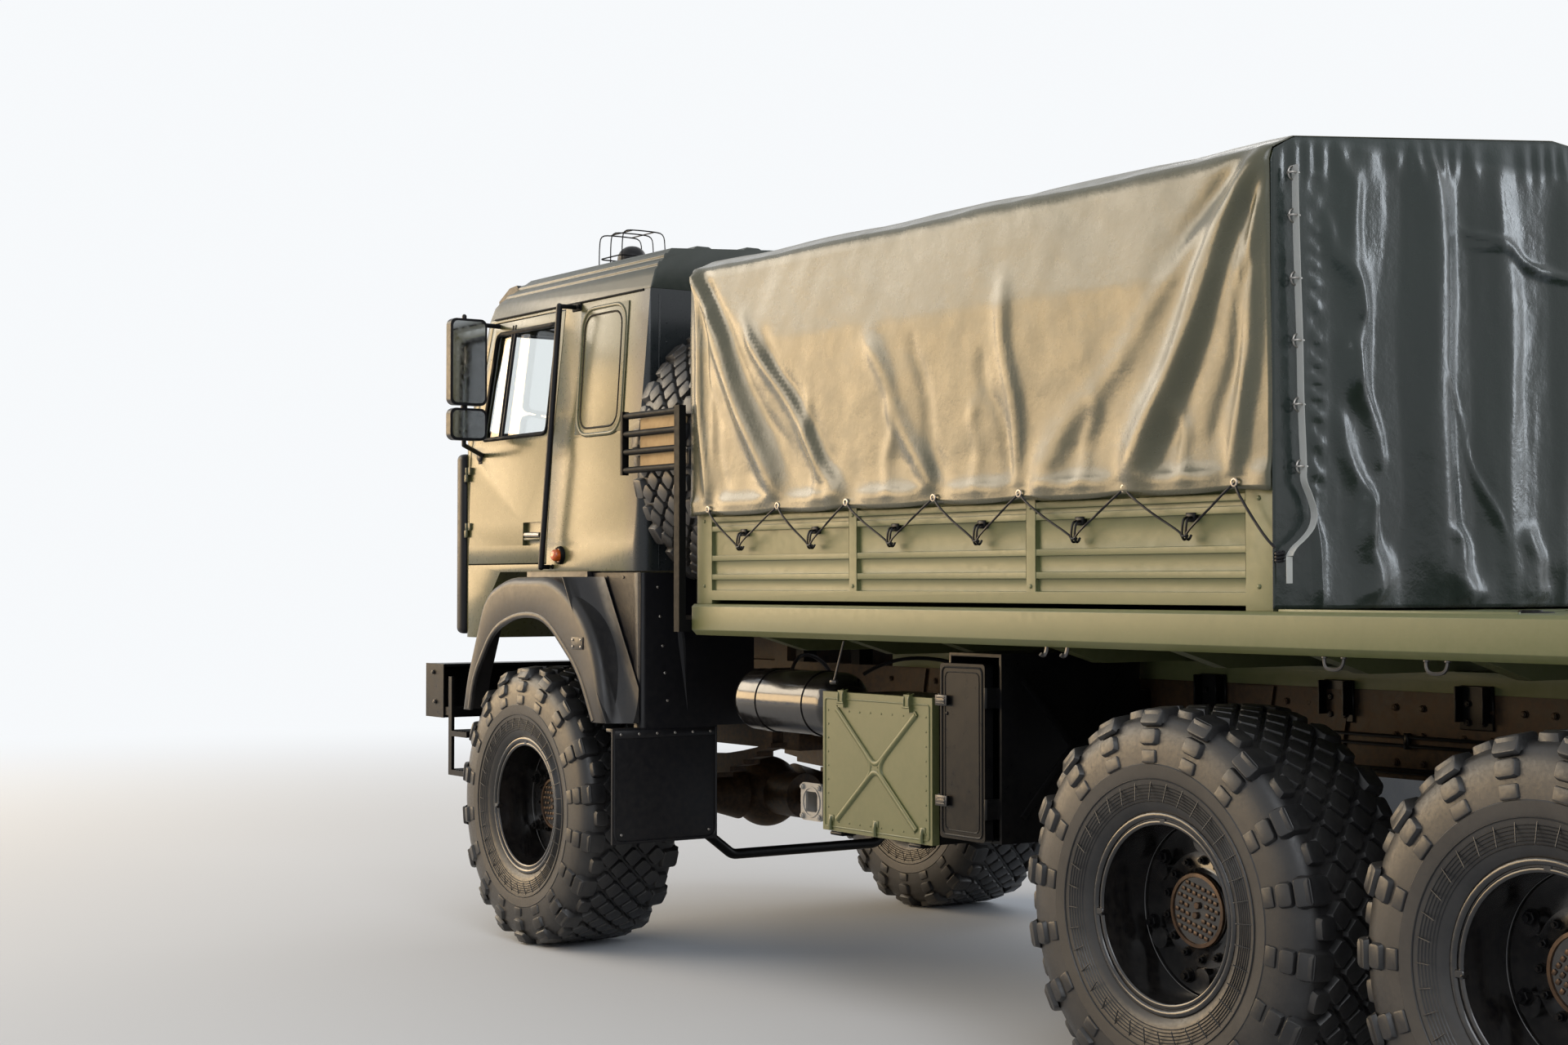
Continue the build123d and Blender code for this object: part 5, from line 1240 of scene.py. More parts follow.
def dressFender(side):
    f = fender
    name, face, back = sideNames[side], f["faceY"], f["guardX"]
    lip, plate, screws, flap, crease = newMeshes(5)
    ax, az = f["axle"]
    points = []
    for x, z in f["lip"]:
        inset = f["lipInset"] / hypot(x - ax, z - az)
        points.append((x + inset * (x - ax), side * face, z + inset * (z - az)))
    addTube(lip, points, f["lipRadius"], sides=12, resolution=3)
    scaleAbout(lip, (1, f["lipFlat"], 1), (0, side * face, 0))
    x0, x1, z0, z1 = f["plate"]
    front = face + f["plateProud"]
    addSideBlock(plate, side, (x0, face, z0), (x1, front, z1), 0.002, 2)
    spots = [(x, front, z) for x in (x0 + 0.014, x1 - 0.014) for z in (z0 + 0.012, z1 - 0.012)]
    addCopies(screws, screw, [onSide(*spot, side) for spot in spots])
    addCopies(screws, screw, [standing(back, side * y, z, "back") for y, z in f["screws"]])

    y0, y1, z0, z1 = f["flap"]
    thick, tall = f["flapBar"]
    addSideBlock(flap, side, (back - thick, y0, z1 - tall), (back, y1, z1), 0.0015)
    spots = [(back - thick, y0 + 0.030 + (y1 - y0 - 0.060) * k / 5, z1 - tall / 2) for k in range(6)]
    spots += [(back, y, z0 + 0.030) for y in (y0 + 0.035, y1 - 0.035)]
    addCopies(screws, screw, [standing(x, side * y, z, "back") for x, y, z in spots])
    cut, beside, below = f["flapCorner"]
    steps = ((0, z1), (0, z1 - below), (0, z0 + beside), (0, z0 + cut), (cut, z0), (beside, z0))
    edge = [(y0 + dy, z) for dy, z in steps] + [(y1 - dy, z) for dy, z in reversed(steps)]
    addTube(flap, [(back - 0.001, side * y, z) for y, z in edge], f["flapBead"], resolution=3)

    (ya, za), (yb, zb) = f["crease"]
    ends = (back, side * ya, za), (back, side * yb, zb)
    middle = (back, side * (ya + yb) / 2, za * 0.6 + zb * 0.4)
    addRod(crease, ends[0], middle, 0.001, 4, tip=f["creaseRadius"])
    addRod(crease, middle, ends[1], f["creaseRadius"], 4, tip=0.001)
    bmesh.ops.remove_doubles(crease, verts=crease.verts, dist=0.0004)
    scaleAbout(crease, (0.5, 1, 1), (back, 0, 0))
    keepPiece(f"arch_lip_{name}", lip, "cab", "flarePlastic")
    keepPiece(f"arch_plate_{name}", plate, "cab", "flarePlastic", 40)
    keepPiece(f"guard_screws_{name}", screws, "root", "bareSteel")
    keepPiece(f"flap_trim_{name}", flap, "root", "blackPlastic")
    keepPiece(f"guard_crease_{name}", crease, "root", "blackPlastic")


for side in (1, -1):
    dressFender(side)
print("arches and mudguards dressed")


# Cab: gaskets, divider bars, panel line, handle, gutter, bezels, mirrors and the beacon's cage

cab = {
    "half": 1.215,
    "beltHalf": 1.205,
    "gutterHalf": 1.165,
    "beltZ": 2.285,
    "gutterZ": 2.905,
    "sealProud": 0.013,
    "divider": ((3.679, 2.330), (3.598, 2.860)),
    "sleeper": (2.562, 2.893, 2.325, 2.832),
    "beadTop": 2.862,
    "handle": (3.244, 3.422, 1.812, 1.919),
    "lamp": (3.051, 1.763),
    "railFeet": ((3.000, 2.885), (3.168, 1.712)),
    "railY": 1.253,
    "corner": ((4.022, 1.120, 1.392), (4.098, 1.232, 2.268)),
    "mirrorX": 3.665,
    "mirrorY": 1.375,
    "mirrorHalf": 0.083,
    "mirrorHeads": ((2.475, 2.885), (2.310, 2.462)),
    "screenFoot": (4.045, 2.290),
    "screenTop": (3.850, 2.915),
    "wiperYs": (-0.62, 0.05, 0.72),
    "beacon": (3.300, 0.700, 3.118),
    "cage": (0.108, 0.118, 0.176),
    "wire": 0.0032,
}


# The cab side's distance from the middle at a height
def sideAt(z):
    c = cab
    share = clamp((z - c["beltZ"]) / (c["gutterZ"] - c["beltZ"]))
    return c["beltHalf"] + (c["gutterHalf"] - c["beltHalf"]) * share


# A cyclic run of points, filled in so that straight stretches stay straight
def filledLoop(points, step=0.06):
    filled = []
    for start, end in zip(points, points[1:] + points[:1]):
        count = max(1, round((end - start).length / step))
        filled += [start + (end - start) * k / count for k in range(count)]
    return filled


# The outer outline of a pane, sorted round its middle and lifted to carry its seal
def paneSeal(node, normalHint, step, keep=None):
    mesh, place = cadNodes[node].data, cadNodes[node].matrix_world
    hint = Vector(normalHint)
    face = max((p for p in mesh.polygons if p.normal.dot(hint) > 0.8), key=lambda p: p.area)
    normal = (place.to_3x3() @ face.normal).normalized()
    points = [place @ v.co for v in mesh.vertices]
    if keep:
        points = [p for p in points if keep(p)]
    top = max(p.dot(normal) for p in points)
    outer = [p for p in points if p.dot(normal) > top - 0.0025]
    middle = sum(outer, Vector()) / len(outer)
    across = normal.cross(Vector((0, 0, 1))).normalized()
    up = across.cross(normal)
    outer.sort(key=lambda p: atan2((p - middle).dot(up), (p - middle).dot(across)))
    slim = [outer[0]]
    for p in outer[1:]:
        if (p - slim[-1]).length > 0.012:
            slim.append(p)
    return [p + normal * cab["sealProud"] for p in filledLoop(slim, step)]


def roundedFrame(x0, x1, z0, z1, corner, place):
    points = []
    right, left, high, low = x1 - corner, x0 + corner, z1 - corner, z0 + corner
    for quarter, (cx, cz) in enumerate(((right, high), (left, high), (left, low), (right, low))):
        for k in range(5):
            angle = (quarter + k / 4) * pi / 2
            points.append(Vector(place(cx + corner * cos(angle), cz + corner * sin(angle))))
    return filledLoop(points)


def dressDoor(side):
    c = cab
    name = sideNames[side]
    door = "door_" + name
    gasket, bars, lever, glass, joints = newMeshes(5)
    addLoop(gasket, paneSeal("door_glass_" + name, (0, side, 0.05), 0.06), 0.0115)
    for shift in (-0.013, 0.013):
        addRod(bars, *[(x + shift, side * (sideAt(z) - 0.004), z) for x, z in c["divider"]], 0.0075, 8)
    x0, x1, z0, z1 = c["handle"]
    back = sideAt(z0) - 0.0195
    addSideBlock(bars, side, (x0 + 0.006, back - 0.001, z0 + 0.006), (x1 - 0.006, back + 0.002, z1 - 0.006), 0.001)
    y, z = c["half"] - 0.002, (z0 + z1) / 2 - 0.004
    grip = [
        (x1 - 0.010, y - 0.014, z), (x1 - 0.020, y, z), (x1 - 0.050, y + 0.003, z),
        (x0 + 0.060, y + 0.004, z - 0.001), (x0 + 0.024, y + 0.004, z - 0.002), (x0 + 0.012, y, z - 0.002),
    ]
    addTube(lever, toSide(grip, side), 0.0115, sides=12, resolution=4)
    x, y, wide = c["mirrorX"], c["mirrorY"], c["mirrorHalf"]
    for z0, z1 in c["mirrorHeads"]:
        plate = bmesh.new()
        addSideBlock(plate, side, (x - 0.0035, y - wide, z0 + 0.012), (x + 0.001, y + wide, z1 - 0.012))
        bevelEdges(plate, [e for e in plate.edges if abs((e.verts[0].co - e.verts[1].co).x) > 0.002], 0.024, 4)
        addCopies(glass, unitMesh(plate), [Matrix.Identity(4)])
    addRod(joints, (3.880, side * 1.184, 2.245), (3.880, side * 1.216, 2.245), 0.024, 16, ease=0.005)
    addSideBlock(joints, side, (3.862, 1.182, 2.211), (3.898, 1.210, 2.235), 0.004)
    addRod(joints, (3.715, side * y, 2.462), (3.715, side * y, 2.475), 0.016, 12)
    keepPiece(f"door_gasket_{name}", gasket, door, "mattBlack", 60)
    keepPiece(f"door_bars_{name}", bars, door, "blackPlastic")
    keepPiece(f"door_lever_{name}", lever, door, "bareSteel", 60)
    keepPiece(f"mirror_glass_{name}", glass, door, "mirrorGlass", 30)
    keepPiece(f"mirror_joint_{name}", joints, door, "blackPlastic")


def dressCabSide(side):
    c = cab
    name = sideNames[side]
    line, bead, corner = newMeshes(3)
    x0, x1, z0, z1 = c["sleeper"]
    addLoop(line, roundedFrame(x0, x1, z0, z1, 0.062, lambda x, z: (x, side * (sideAt(z) + 0.0035), z)), 0.0060)
    x0, x1, z0, z1 = x0 - 0.034, x1 + 0.026, z0 - 0.030, min(z1 + 0.030, c["beadTop"])
    addLoop(bead, roundedFrame(x0, x1, z0, z1, 0.085, lambda x, z: (x, side * (sideAt(z) + 0.001), z)), 0.0110, 12)
    gutter = [(x, side * (c["gutterHalf"] + 0.002), c["gutterZ"] - 0.002) for x in (2.400, 2.9, 3.4, 3.80)]
    addTube(line, gutter, 0.0052, resolution=2)
    bezel = ringUnit([(0.0290, 0.0), (0.0420, 0.0), (0.0405, 0.010), (0.0370, 0.0170), (0.0300, 0.0170)], 28)
    x, z = c["lamp"]
    addCopies(line, bezel, [Matrix.Translation((x, side * c["half"], z)) @ facing(side)])
    for x, z in c["railFeet"]:
        y = sideAt(z)
        addSideBlock(line, side, (x - 0.055, y - 0.004, z - 0.020), (x + 0.030, y + 0.006, z + 0.020), 0.004)
        addSideBlock(line, side, (x - 0.012, y - 0.002, z - 0.009), (x + 0.012, c["railY"], z + 0.009), 0.003)
        addCopies(line, boltHead, [onSide(x - 0.040, y + 0.006, z, side)])
    addSideBlock(corner, side, *c["corner"], 0.028, 4)
    keepPiece(f"sleeper_bead_{name}", bead, "cab", "cabPaint", 60)
    keepPiece(f"cab_lines_{name}", line, "cab", "mattBlack")
    keepPiece(f"corner_fairing_{name}", corner, "cab", "blackPlastic")


def windscreenTrim():
    gasket, wipers = newMeshes(2)
    addLoop(gasket, paneSeal("cab_glass", (1, 0, 0.2), 0.12, lambda p: p.x > 3.8), 0.0125)
    (footX, footZ), (topX, topZ) = cab["screenFoot"], cab["screenTop"]
    slope = (topX - footX) / (topZ - footZ)

    def onScreen(y, z, off):
        return (footX + slope * (z - footZ) + off, y, z)

    for y in cab["wiperYs"]:
        addRod(wipers, onScreen(y, 2.262, 0.034), onScreen(y, 2.262, 0.058), 0.016, 14, ease=0.003)
        arm = ((0, 2.266, 0.056), (0.04, 2.300, 0.056), (0.20, 2.470, 0.040), (0.30, 2.590, 0.028))
        addTube(wipers, [onScreen(y - across, z, off) for across, z, off in arm], 0.0055, resolution=4)
        for off, radius, sides in ((0.018, 0.0050, 8), (0.010, 0.0032, 6)):
            addRod(wipers, onScreen(y - 0.06, 2.375, off), onScreen(y - 0.50, 2.780, off), radius, sides)
    keepPiece("windscreen_gasket", gasket, "cab", "blackPlastic", 60)
    keepPiece("wipers", wipers, "cab", "blackPlastic")


# Bent wires round the beacon on a frame that stands on the roof
def beaconCage():
    (x, y, z), (deep, wide, tall), wire = cab["beacon"], cab["cage"], cab["wire"]
    cage, collar = newMeshes(2)
    foot, top = z - 0.030, z + tall
    half = [(1, foot), (1, foot + 0.06), (0.99, top - 0.05), (0.92, top), (0.4, top + 0.004)]
    arch = [(y - wide * k, height) for k, height in half] + [(y + wide * k, height) for k, height in reversed(half)]
    for shift in (-deep, 0.0, deep):
        addTube(cage, [(x + shift, *point) for point in arch], wire, sides=6, resolution=3)
    for shift in (-wide * 0.5, wide * 0.5):
        addRod(cage, (x - deep, y + shift, top + 0.003), (x + deep, y + shift, top + 0.003), wire, 6)
    for level in (foot + 0.004, foot + 0.090):
        addLoop(cage, roundedFrame(-deep, deep, -wide, wide, 0.03, lambda u, v: (x + u, y + v, level)), 0.0035, 6)
    ring = ringUnit([(0.066, 0.018), (0.0745, 0.022), (0.0745, 0.030), (0.0705, 0.036), (0.066, 0.036)], 40)
    addCopies(collar, ring, [Matrix.Translation((x, y, z)) @ Matrix.Rotation(pi / 2, 4, "X")])
    keepPiece("beacon_cage", cage, "cab", "blackPaint", 60)
    keepPiece("beacon_collar", collar, "cab", "blackPaint")


for side in (1, -1):
    dressDoor(side)
    dressCabSide(side)
windscreenTrim()
beaconCage()
print("cab dressed")


# Boxes: pressed cross, beads, rivets, hooks and hinges of the lid; beads and latches of the battery box's cover

boxes = {
    "lid": (0.396, 1.074, 0.700, 1.215),
    "lidFace": 1.153,
    "lidHooks": (0.452, 0.735, 1.018),
    "crossArm": ((0.245, 0.208), (0.150, 0.128), (0.040, 0.036), (0.020, 0.020)),
    "crossWaist": ((0.120, 0.104), (0.040, 0.036)),
    "cover": (0.040, 0.288, 0.745, 1.356),
    "coverFace": 1.201,
    "coverLatches": (0.875, 1.226),
}


def dressLid():
    x0, x1, z0, z1 = boxes["lid"]
    face, body = boxes["lidFace"], "equipment_lid"
    ridge, dots, hooks = newMeshes(3)
    midX, midZ = (x0 + x1) / 2, (z0 + z1) / 2 - 0.004
    for up in (1, -1):
        arm = [(dx, face, midZ + up * dz) for dx, dz in boxes["crossArm"]]
        run = [(midX - dx, y, z) for dx, y, z in arm] + [(midX, face, midZ + up * 0.015)]
        addTube(ridge, run + [(midX + dx, y, z) for dx, y, z in reversed(arm)], 0.0125, sides=12, resolution=5)
    for side in (1, -1):
        arm = [(midX + side * dx, dz) for dx, dz in boxes["crossWaist"]]
        run = [(x, face, midZ + dz) for x, dz in arm] + [(midX + side * 0.024, face, midZ)]
        addTube(ridge, run + [(x, face, midZ - dz) for x, dz in reversed(arm)], 0.0115, sides=12, resolution=5)
    scaleAbout(ridge, (1, 0.72, 1), (0, face, 0))
    inset = 0.016
    addLoop(ridge, roundedFrame(
        x0 + inset, x1 - inset, z0 + inset, z1 - inset, 0.012, lambda x, z: (x, face, z),
    ), 0.0034)
    left, right, low, high = x0 + 0.036, x1 - 0.036, z0 + 0.036, z1 - 0.060
    spots = [(left + (right - left) * k / 9, z) for k in range(10) for z in (low, high)]
    spots += [(x, low + (high - low) * k / 8) for k in range(1, 8) for x in (left, right)]
    addCopies(dots, smallRivet, [standing(x, face, z, 1) for x, z in spots])
    for x in boxes["lidHooks"]:
        run = ((0.001, 0.052), (0.006, 0.046), (0.007, 0.016), (0.004, 0.003))
        addTube(hooks, [(x, face + out, z0 + up) for out, up in run], 0.0072, resolution=4)
        addBlock(hooks, (x - 0.017, face - 0.001, z0 + 0.036), (x + 0.017, face + 0.003, z0 + 0.060), 0.001)
    for x in (x0 + 0.134, x1 - 0.134):
        for shift in (-0.014, 0.014):
            run = ((0.014, -0.030), (0.018, 0), (0.010, 0.016), (-0.010, 0.020))
            addTube(hooks, [(x + shift, face + out, z1 + up) for out, up in run], 0.0030)
        addRod(hooks, (x - 0.021, face + 0.015, z1 - 0.028), (x + 0.021, face + 0.015, z1 - 0.028), 0.0045, 8)
    keepPiece("lid_ridges", ridge, body, "olivePaint")
    keepPiece("lid_rivets", dots, body, "olivePaint")
    keepPiece("lid_hooks", hooks, body, "olivePaint")


def dressCover():
    x0, x1, z0, z1 = boxes["cover"]
    y = boxes["coverFace"]
    bead, clasps = newMeshes(2)
    for inset, radius in ((0.013, 0.0040), (0.030, 0.0022)):
        loop = roundedFrame(x0 + inset, x1 - inset, z0 + inset, z1 - inset, 0.020, lambda x, z: (x, y, z))
        addLoop(bead, loop, radius)
    addCopies(bead, screw, [standing(x1 - 0.040, y, 1.180, 1)])
    for z in boxes["coverLatches"]:
        addBlock(clasps, (x1 - 0.056, y + 0.0135, z - 0.019), (x1 + 0.008, y + 0.0175, z + 0.019), 0.0015)
        addBlock(clasps, (x1 + 0.002, y - 0.030, z - 0.017), (x1 + 0.0075, y + 0.016, z + 0.017), 0.0015)
        addRod(clasps, (x1 + 0.009, y - 0.004, z - 0.021), (x1 + 0.009, y - 0.004, z + 0.021), 0.0050, 10)
        for up in (-0.010, 0.010):
            addRod(clasps, (x1 - 0.048, y + 0.018, z + up), (x1 - 0.004, y + 0.020, z + up), 0.0028, 8)
        addCopies(clasps, screw, [standing(x1 - 0.044, y + 0.0175, z, 1)])
    keepPiece("cover_bead", bead, "battery_lid", "blackPaint")
    keepPiece("cover_clasps", clasps, "battery_lid", "latchSteel")


# Bed and frame: rivets of the posts, lashing loops and hooks under the sill, bolts in the rails

bed = {
    "postRivets": (1.742, 0.720, -0.285, -1.315),
    "rivetZs": (1.625, 1.885),
    "loops": (-1.597, -1.962),
    "loopY": 1.262,
    "sillZ": 1.4275,
    "hooks": (-0.359, -0.460),
    "frameBolts": (
        3.75, 3.45, 2.60, 1.55, 1.25, 0.70, 0.15, -0.45, -0.68, -1.15, -1.42, -1.65, -1.92, -2.20, -2.60, -3.10,
        -3.60, -4.10,
    ),
    "boltZs": (1.062, 1.150, 1.238),
}


def dressBed():
    b = bed
    dots, steel, bolts = newMeshes(3)
    y, top = b["loopY"], b["sillZ"]
    for side in (1, -1):
        for x in b["postRivets"]:
            addCopies(dots, rivet, [onSide(x, 1.268, z, side) for z in b["rivetZs"]])
        for x in b["loops"]:
            half = [(0.036, y, top), (0.037, y + 0.002, 1.410), (0.026, y + 0.004, 1.393)]
            run = [(x - dx, *rest) for dx, *rest in half] + [(x, y + 0.004, 1.389)]
            run += [(x + dx, *rest) for dx, *rest in reversed(half)]
            addTube(steel, toSide(run, side), 0.0055, resolution=4)
            for end in (x - 0.036, x + 0.036):
                addRod(steel, (end, side * y, 1.4215), (end, side * y, 1.4272), 0.0095, 10, ease=0.001)
        for x in b["hooks"]:
            run = [(x, y, top), (x, y + 0.002, 1.408), (x + 0.006, y + 0.012, 1.396), (x + 0.008, y + 0.022, 1.404)]
            addTube(steel, toSide(run, side), 0.0070)
        spots = [(x + shift, 0.430, z) for x in b["frameBolts"] for shift in (-0.055, 0.055) for z in b["boltZs"]]
        addCopies(bolts, boltHead, [onSide(*spot, side) for spot in spots])
    keepPiece("post_rivets", dots, "root", "olivePaint")
    keepPiece("lashing_loops", steel, "root", "latchSteel")
    keepPiece("frame_bolts", bolts, "root", "chassisPaint")


# Stay of the box, flanged pipe end, brake pipes along the frame and hose runs on the tank

underside = {
    "flange": (1.300, 1.050, 0.780),
    "flangeHalf": 0.085,
    "brakePipes": (1.030, 1.044),
    "brakePipeXs": [3.6 - 0.4 * n for n in range(20)],
    "hoses": (
        [(1.72, 0.86, 1.270), (1.78, 0.80, 1.330), (1.86, 0.66, 1.340), (1.92, 0.52, 1.270), (1.96, 0.46, 1.180)],
        [(1.16, 0.90, 1.280), (1.10, 0.84, 1.335), (0.98, 0.70, 1.350), (0.90, 0.55, 1.300), (0.86, 0.46, 1.220)],
    ),
    "packing": ((2.122, 2.196), (2.200, 2.274), (2.278, 2.330)),
}


def dressUnderside():
    u = underside
    stay, flange, pipes, plate = newMeshes(4)
    addRod(stay, (0.955, 1.140, 1.418), (1.020, 1.140, 1.262), 0.0048, 8)
    addRod(stay, (1.008, 1.134, 1.2615), (1.034, 1.146, 1.2615), 0.010, 10, ease=0.002)
    spinOutline(plate, [(0.056, -0.010), (0.056, 0.0), (0.104, 0.0), (0.104, -0.010)], 4)
    bmesh.ops.recalc_face_normals(plate, faces=plate.faces)
    corners = []
    for edge in plate.edges:
        start, end = edge.verts[0].co, edge.verts[1].co
        if abs((start - end).y) > 0.008 and hypot(start.x, start.z) > 0.09:
            corners.append(edge)
    bevelEdges(plate, corners, 0.020, 4)
    middle = Matrix.Translation(u["flange"])
    addCopies(flange, unitMesh(plate, closed=False), [middle @ aboutY(pi / 4)])
    addCopies(flange, ringUnit([(0.050, -0.340), (0.055, -0.340), (0.060, 0.004), (0.054, 0.004)], 32), [middle])
    (x, y, z), reach = u["flange"], u["flangeHalf"] - 0.028
    addCopies(flange, boltHead, [
        standing(x + dx, y, z + dz, 1) for dx in (-reach, reach) for dz in (-reach, reach)
    ])
    for side in (1, -1):
        for k, z in enumerate(u["brakePipes"]):
            run = [(x, 0.441 + 0.004 * sin(x * 5), z + 0.004 * sin(3 * x + k)) for x in u["brakePipeXs"]]
            addTube(pipes, toSide(run, side), 0.0045, sides=6, resolution=2)
    for hose in u["hoses"]:
        addTube(pipes, hose, 0.0085)
    keepPiece("box_stay", stay, "root", "latchSteel")
    keepPiece("pipe_flange", flange, "root", "greyPanel")
    keepPiece("brake_pipes", pipes, "root", "blackPlastic", 60)


# Wooden packing behind the guard bars of the spare wheel
def packingBlocks():
    bm = bmesh.new()
    for z0, z1 in underside["packing"]:
        addBlock(bm, (1.900, 1.246, z0), (2.210, 1.296, z1), 0.003)
    keepPiece("packing_blocks", bm, "root", "paleWood", 40)


dressLid()
dressCover()
dressBed()
dressUnderside()
packingBlocks()
print("boxes, bed and underside dressed")


# Seats: pads with crowned faces, sewn channels and drawn-in sides

seat = {
    "ys": (0.67, -0.67),
    "half": 0.247,
    "paintedShadeX": (2.600, 2.722),
    "seatX": (2.700, 3.220),
    "cushionZ": (2.002, 2.142),
    "topZ": 2.680,
    "crown": 0.016,
    "channelDepth": 0.007,
    "channelWidth": 0.045,
    "cuts": 14,
}


def padOf(bm, low, high, axis, channels, crown):
    low, high = Vector(low), Vector(high)
    half, middle = (high - low) / 2, (low + high) / 2
    others = [k for k in range(3) if k != axis]
    made = bmesh.new()
    bmesh.ops.create_cube(made, size=2.0)
    bmesh.ops.subdivide_edges(made, edges=list(made.edges), cuts=seat["cuts"], use_grid_fill=True)
    for vert in made.verts:
        p = vert.co.copy()
        a, b, face = p[others[0]], p[others[1]], p[axis]
        lift = crown * (1 - abs(a) ** 5) * (1 - abs(b) ** 5) * face
        seam = sum(bell(b - at, seat["channelWidth"]) for at in channels)
        lift -= seat["channelDepth"] * seam * face * (1 if abs(a) < 0.80 else 0.2)
        pull = 1 - 0.035 * (1 - abs(face)) - 0.05 * (max(abs(a), abs(b)) ** 8) * (abs(face) ** 6)
        spot = [p[k] * (half[k] - 0.010) for k in range(3)]
        for k in others:
            spot[k] *= pull * (1 - 0.045 * (abs(a * b) ** 6))
        spot[axis] += lift
        vert.co = Vector(spot) + middle
    addCopies(bm, unitMesh(made), [Matrix.Identity(4)])


def makeSeat(y):
    s = seat
    name = "left" if y > 0 else "right"
    cushion, back, base = newMeshes(3)
    low, high = y - s["half"], y + s["half"]
    (bx0, bx1), (sx0, sx1), (z0, z1) = s["paintedShadeX"], s["seatX"], s["cushionZ"]
    padOf(cushion, (sx0 + 0.012, low, z0), (sx1, high, z1 + 0.004), 2, (-0.62, -0.25, 0.12, 0.50), s["crown"])
    padOf(back, (bx0, low + 0.012, z1 - 0.090), (bx1, high - 0.012, 2.480), 0, (-0.45, 0.0, 0.45), s["crown"])
    padOf(back, (bx0 + 0.012, y - 0.150, 2.492), (bx1 - 0.014, y + 0.150, s["topZ"]), 0, (), s["crown"] * 0.7)
    for rodY in (y - 0.060, y + 0.060):
        addRod(base, (bx0 + 0.058, rodY, 2.440), (bx0 + 0.058, rodY, 2.520), 0.007, 10)
    addBlock(base, (bx1 + 0.045, y - 0.168, 1.728), (sx1 - 0.062, y + 0.168, z0 + 0.010), 0.012, 2)
    for k in range(6):
        z = 1.760 + 0.036 * k
        addBlock(base, (bx1 + 0.038, y - 0.176, z), (sx1 - 0.055, y + 0.176, z + 0.020), 0.008, 2)
    addBlock(base, (bx0 + 0.030, y - 0.200, z0 - 0.018), (sx1 - 0.040, y + 0.200, z0 + 0.012), 0.006, 2)
    for part, bm in (("cushion", cushion), ("back", back)):
        pad = keepPiece(f"seat_{part}_{name}", bm, "cab", "seatCloth", 180, ("seats",))
        smooth = pad.modifiers.new("soften", "SUBSURF")
        smooth.levels = smooth.render_levels = 1
    keepPiece(f"seat_base_{name}", base, "cab", "dashPlastic", 40, ("seats",))


for y in seat["ys"]:
    makeSeat(y)
print("seats made")


# Open deck and rear: panel seams, screws along the beams, sunk lashing eyes, lenses and their frames

deck = {
    "seams": (-1.72, -2.35, -2.98, -3.61, -4.24),
    "top": 1.553,
    "half": 1.215,
    "rivetYs": [-1.14 + 0.19 * k for k in range(13)],
    "eyes": [
        (-2.03, 0.95), (-2.03, -0.95), (-2.66, 0.95), (-2.66, -0.95), (-3.29, 0.95), (-3.29, -0.95),
        (-3.92, 0.95), (-3.92, -0.95), (-2.03, 0.0), (-3.29, 0.0),
    ],
    "eyeRadius": 0.026,
}
rearLenses = {  # from y to y, and the slot
    "redLens": (1.150, 1.232, "orange_lens"),
    "orangeLens": (1.066, 1.142, "orange_lens"),
    "clearLens": (0.970, 1.058, "clear_lens"),
}


def dressDeck():
    d = deck
    top, wide = d["top"], d["eyeRadius"]
    seams, eyes = newMeshes(2)
    for x in d["seams"]:
        addBlock(seams, (x - 0.011, -d["half"], top - 0.001), (x + 0.011, d["half"], top + 0.0024), 0.0012)
        for shift in (-0.034, 0.034):
            addCopies(seams, smallRivet, [standing(x + shift, y, top, "up") for y in d["rivetYs"]])
    for y in (-0.405, 0.405):
        addBlock(seams, (-4.395, y - 0.009, top - 0.001), (-1.42, y + 0.009, top + 0.0020), 0.001)
    ring = ringUnit([(0.040, 0.0), (0.043, 0.0035), (0.056, 0.0035), (0.060, 0.0)], 28)
    for x, y in d["eyes"]:
        addCopies(eyes, ring, [Matrix.Translation((x, y, top)) @ Matrix.Rotation(pi / 2, 4, "X")])
        loop = [(x + wide * cos(tau * k / 8), y + wide * sin(tau * k / 8), top + 0.004) for k in range(8)]
        addTube(eyes, loop, 0.0045, cyclic=True, resolution=3)
        addRod(eyes, (x + 0.022, y - 0.030, top + 0.002), (x + 0.022, y + 0.030, top + 0.002), 0.0055, 8)
    keepPiece("deck_seams", seams, "root", "olivePaint")
    keepPiece("lashing_eyes", eyes, "root", "blackPaint")


def dressRear():
    for look, (y0, y1, slot) in rearLenses.items():
        bm = bmesh.new()
        for side in (1, -1):
            addSideBlock(bm, side, (-4.4575, y0, 1.302), (-4.4495, y1, 1.388), 0.005, 2)
        keepPiece("rear_" + look, bm, "root", look, 40)
    frames = bmesh.new()
    for side in (1, -1):
        outline = roundedFrame(0.966, 1.236, 1.296, 1.394, 0.014, lambda y, z: (-4.4505, side * y, z))
        addLoop(frames, outline, 0.0045)
        addCopies(frames, screw, [standing(-4.4500, side * y, 1.425, "back") for y in (0.985, 1.215)])
    keepPiece("rear_lamp_frames", frames, "root", "blackPlastic")


# Front: frames of the lamps, treads of the steps and bolts

front = {
    "lamps": ((0.895, 1.125), (0.795, 0.890)),
    "lampZ": (1.129, 1.214),
    "lampFace": 4.3925,
    "stepZs": (0.700, 0.890),
    "treadXs": [3.972 + 0.026 * k for k in range(7)],
    "endBolts": ((4.302, 1.248, 1.197), (4.282, 1.248, 1.052)),
    "faceBolts": [(4.390, y, z) for y in (0.42, 0.70) for z in (1.040, 1.176)],
    "grilleScrews": [(4.102, y, z) for z in (1.392, 2.130) for y in (-1.0, -0.5, 0.0, 0.5, 1.0)],
}


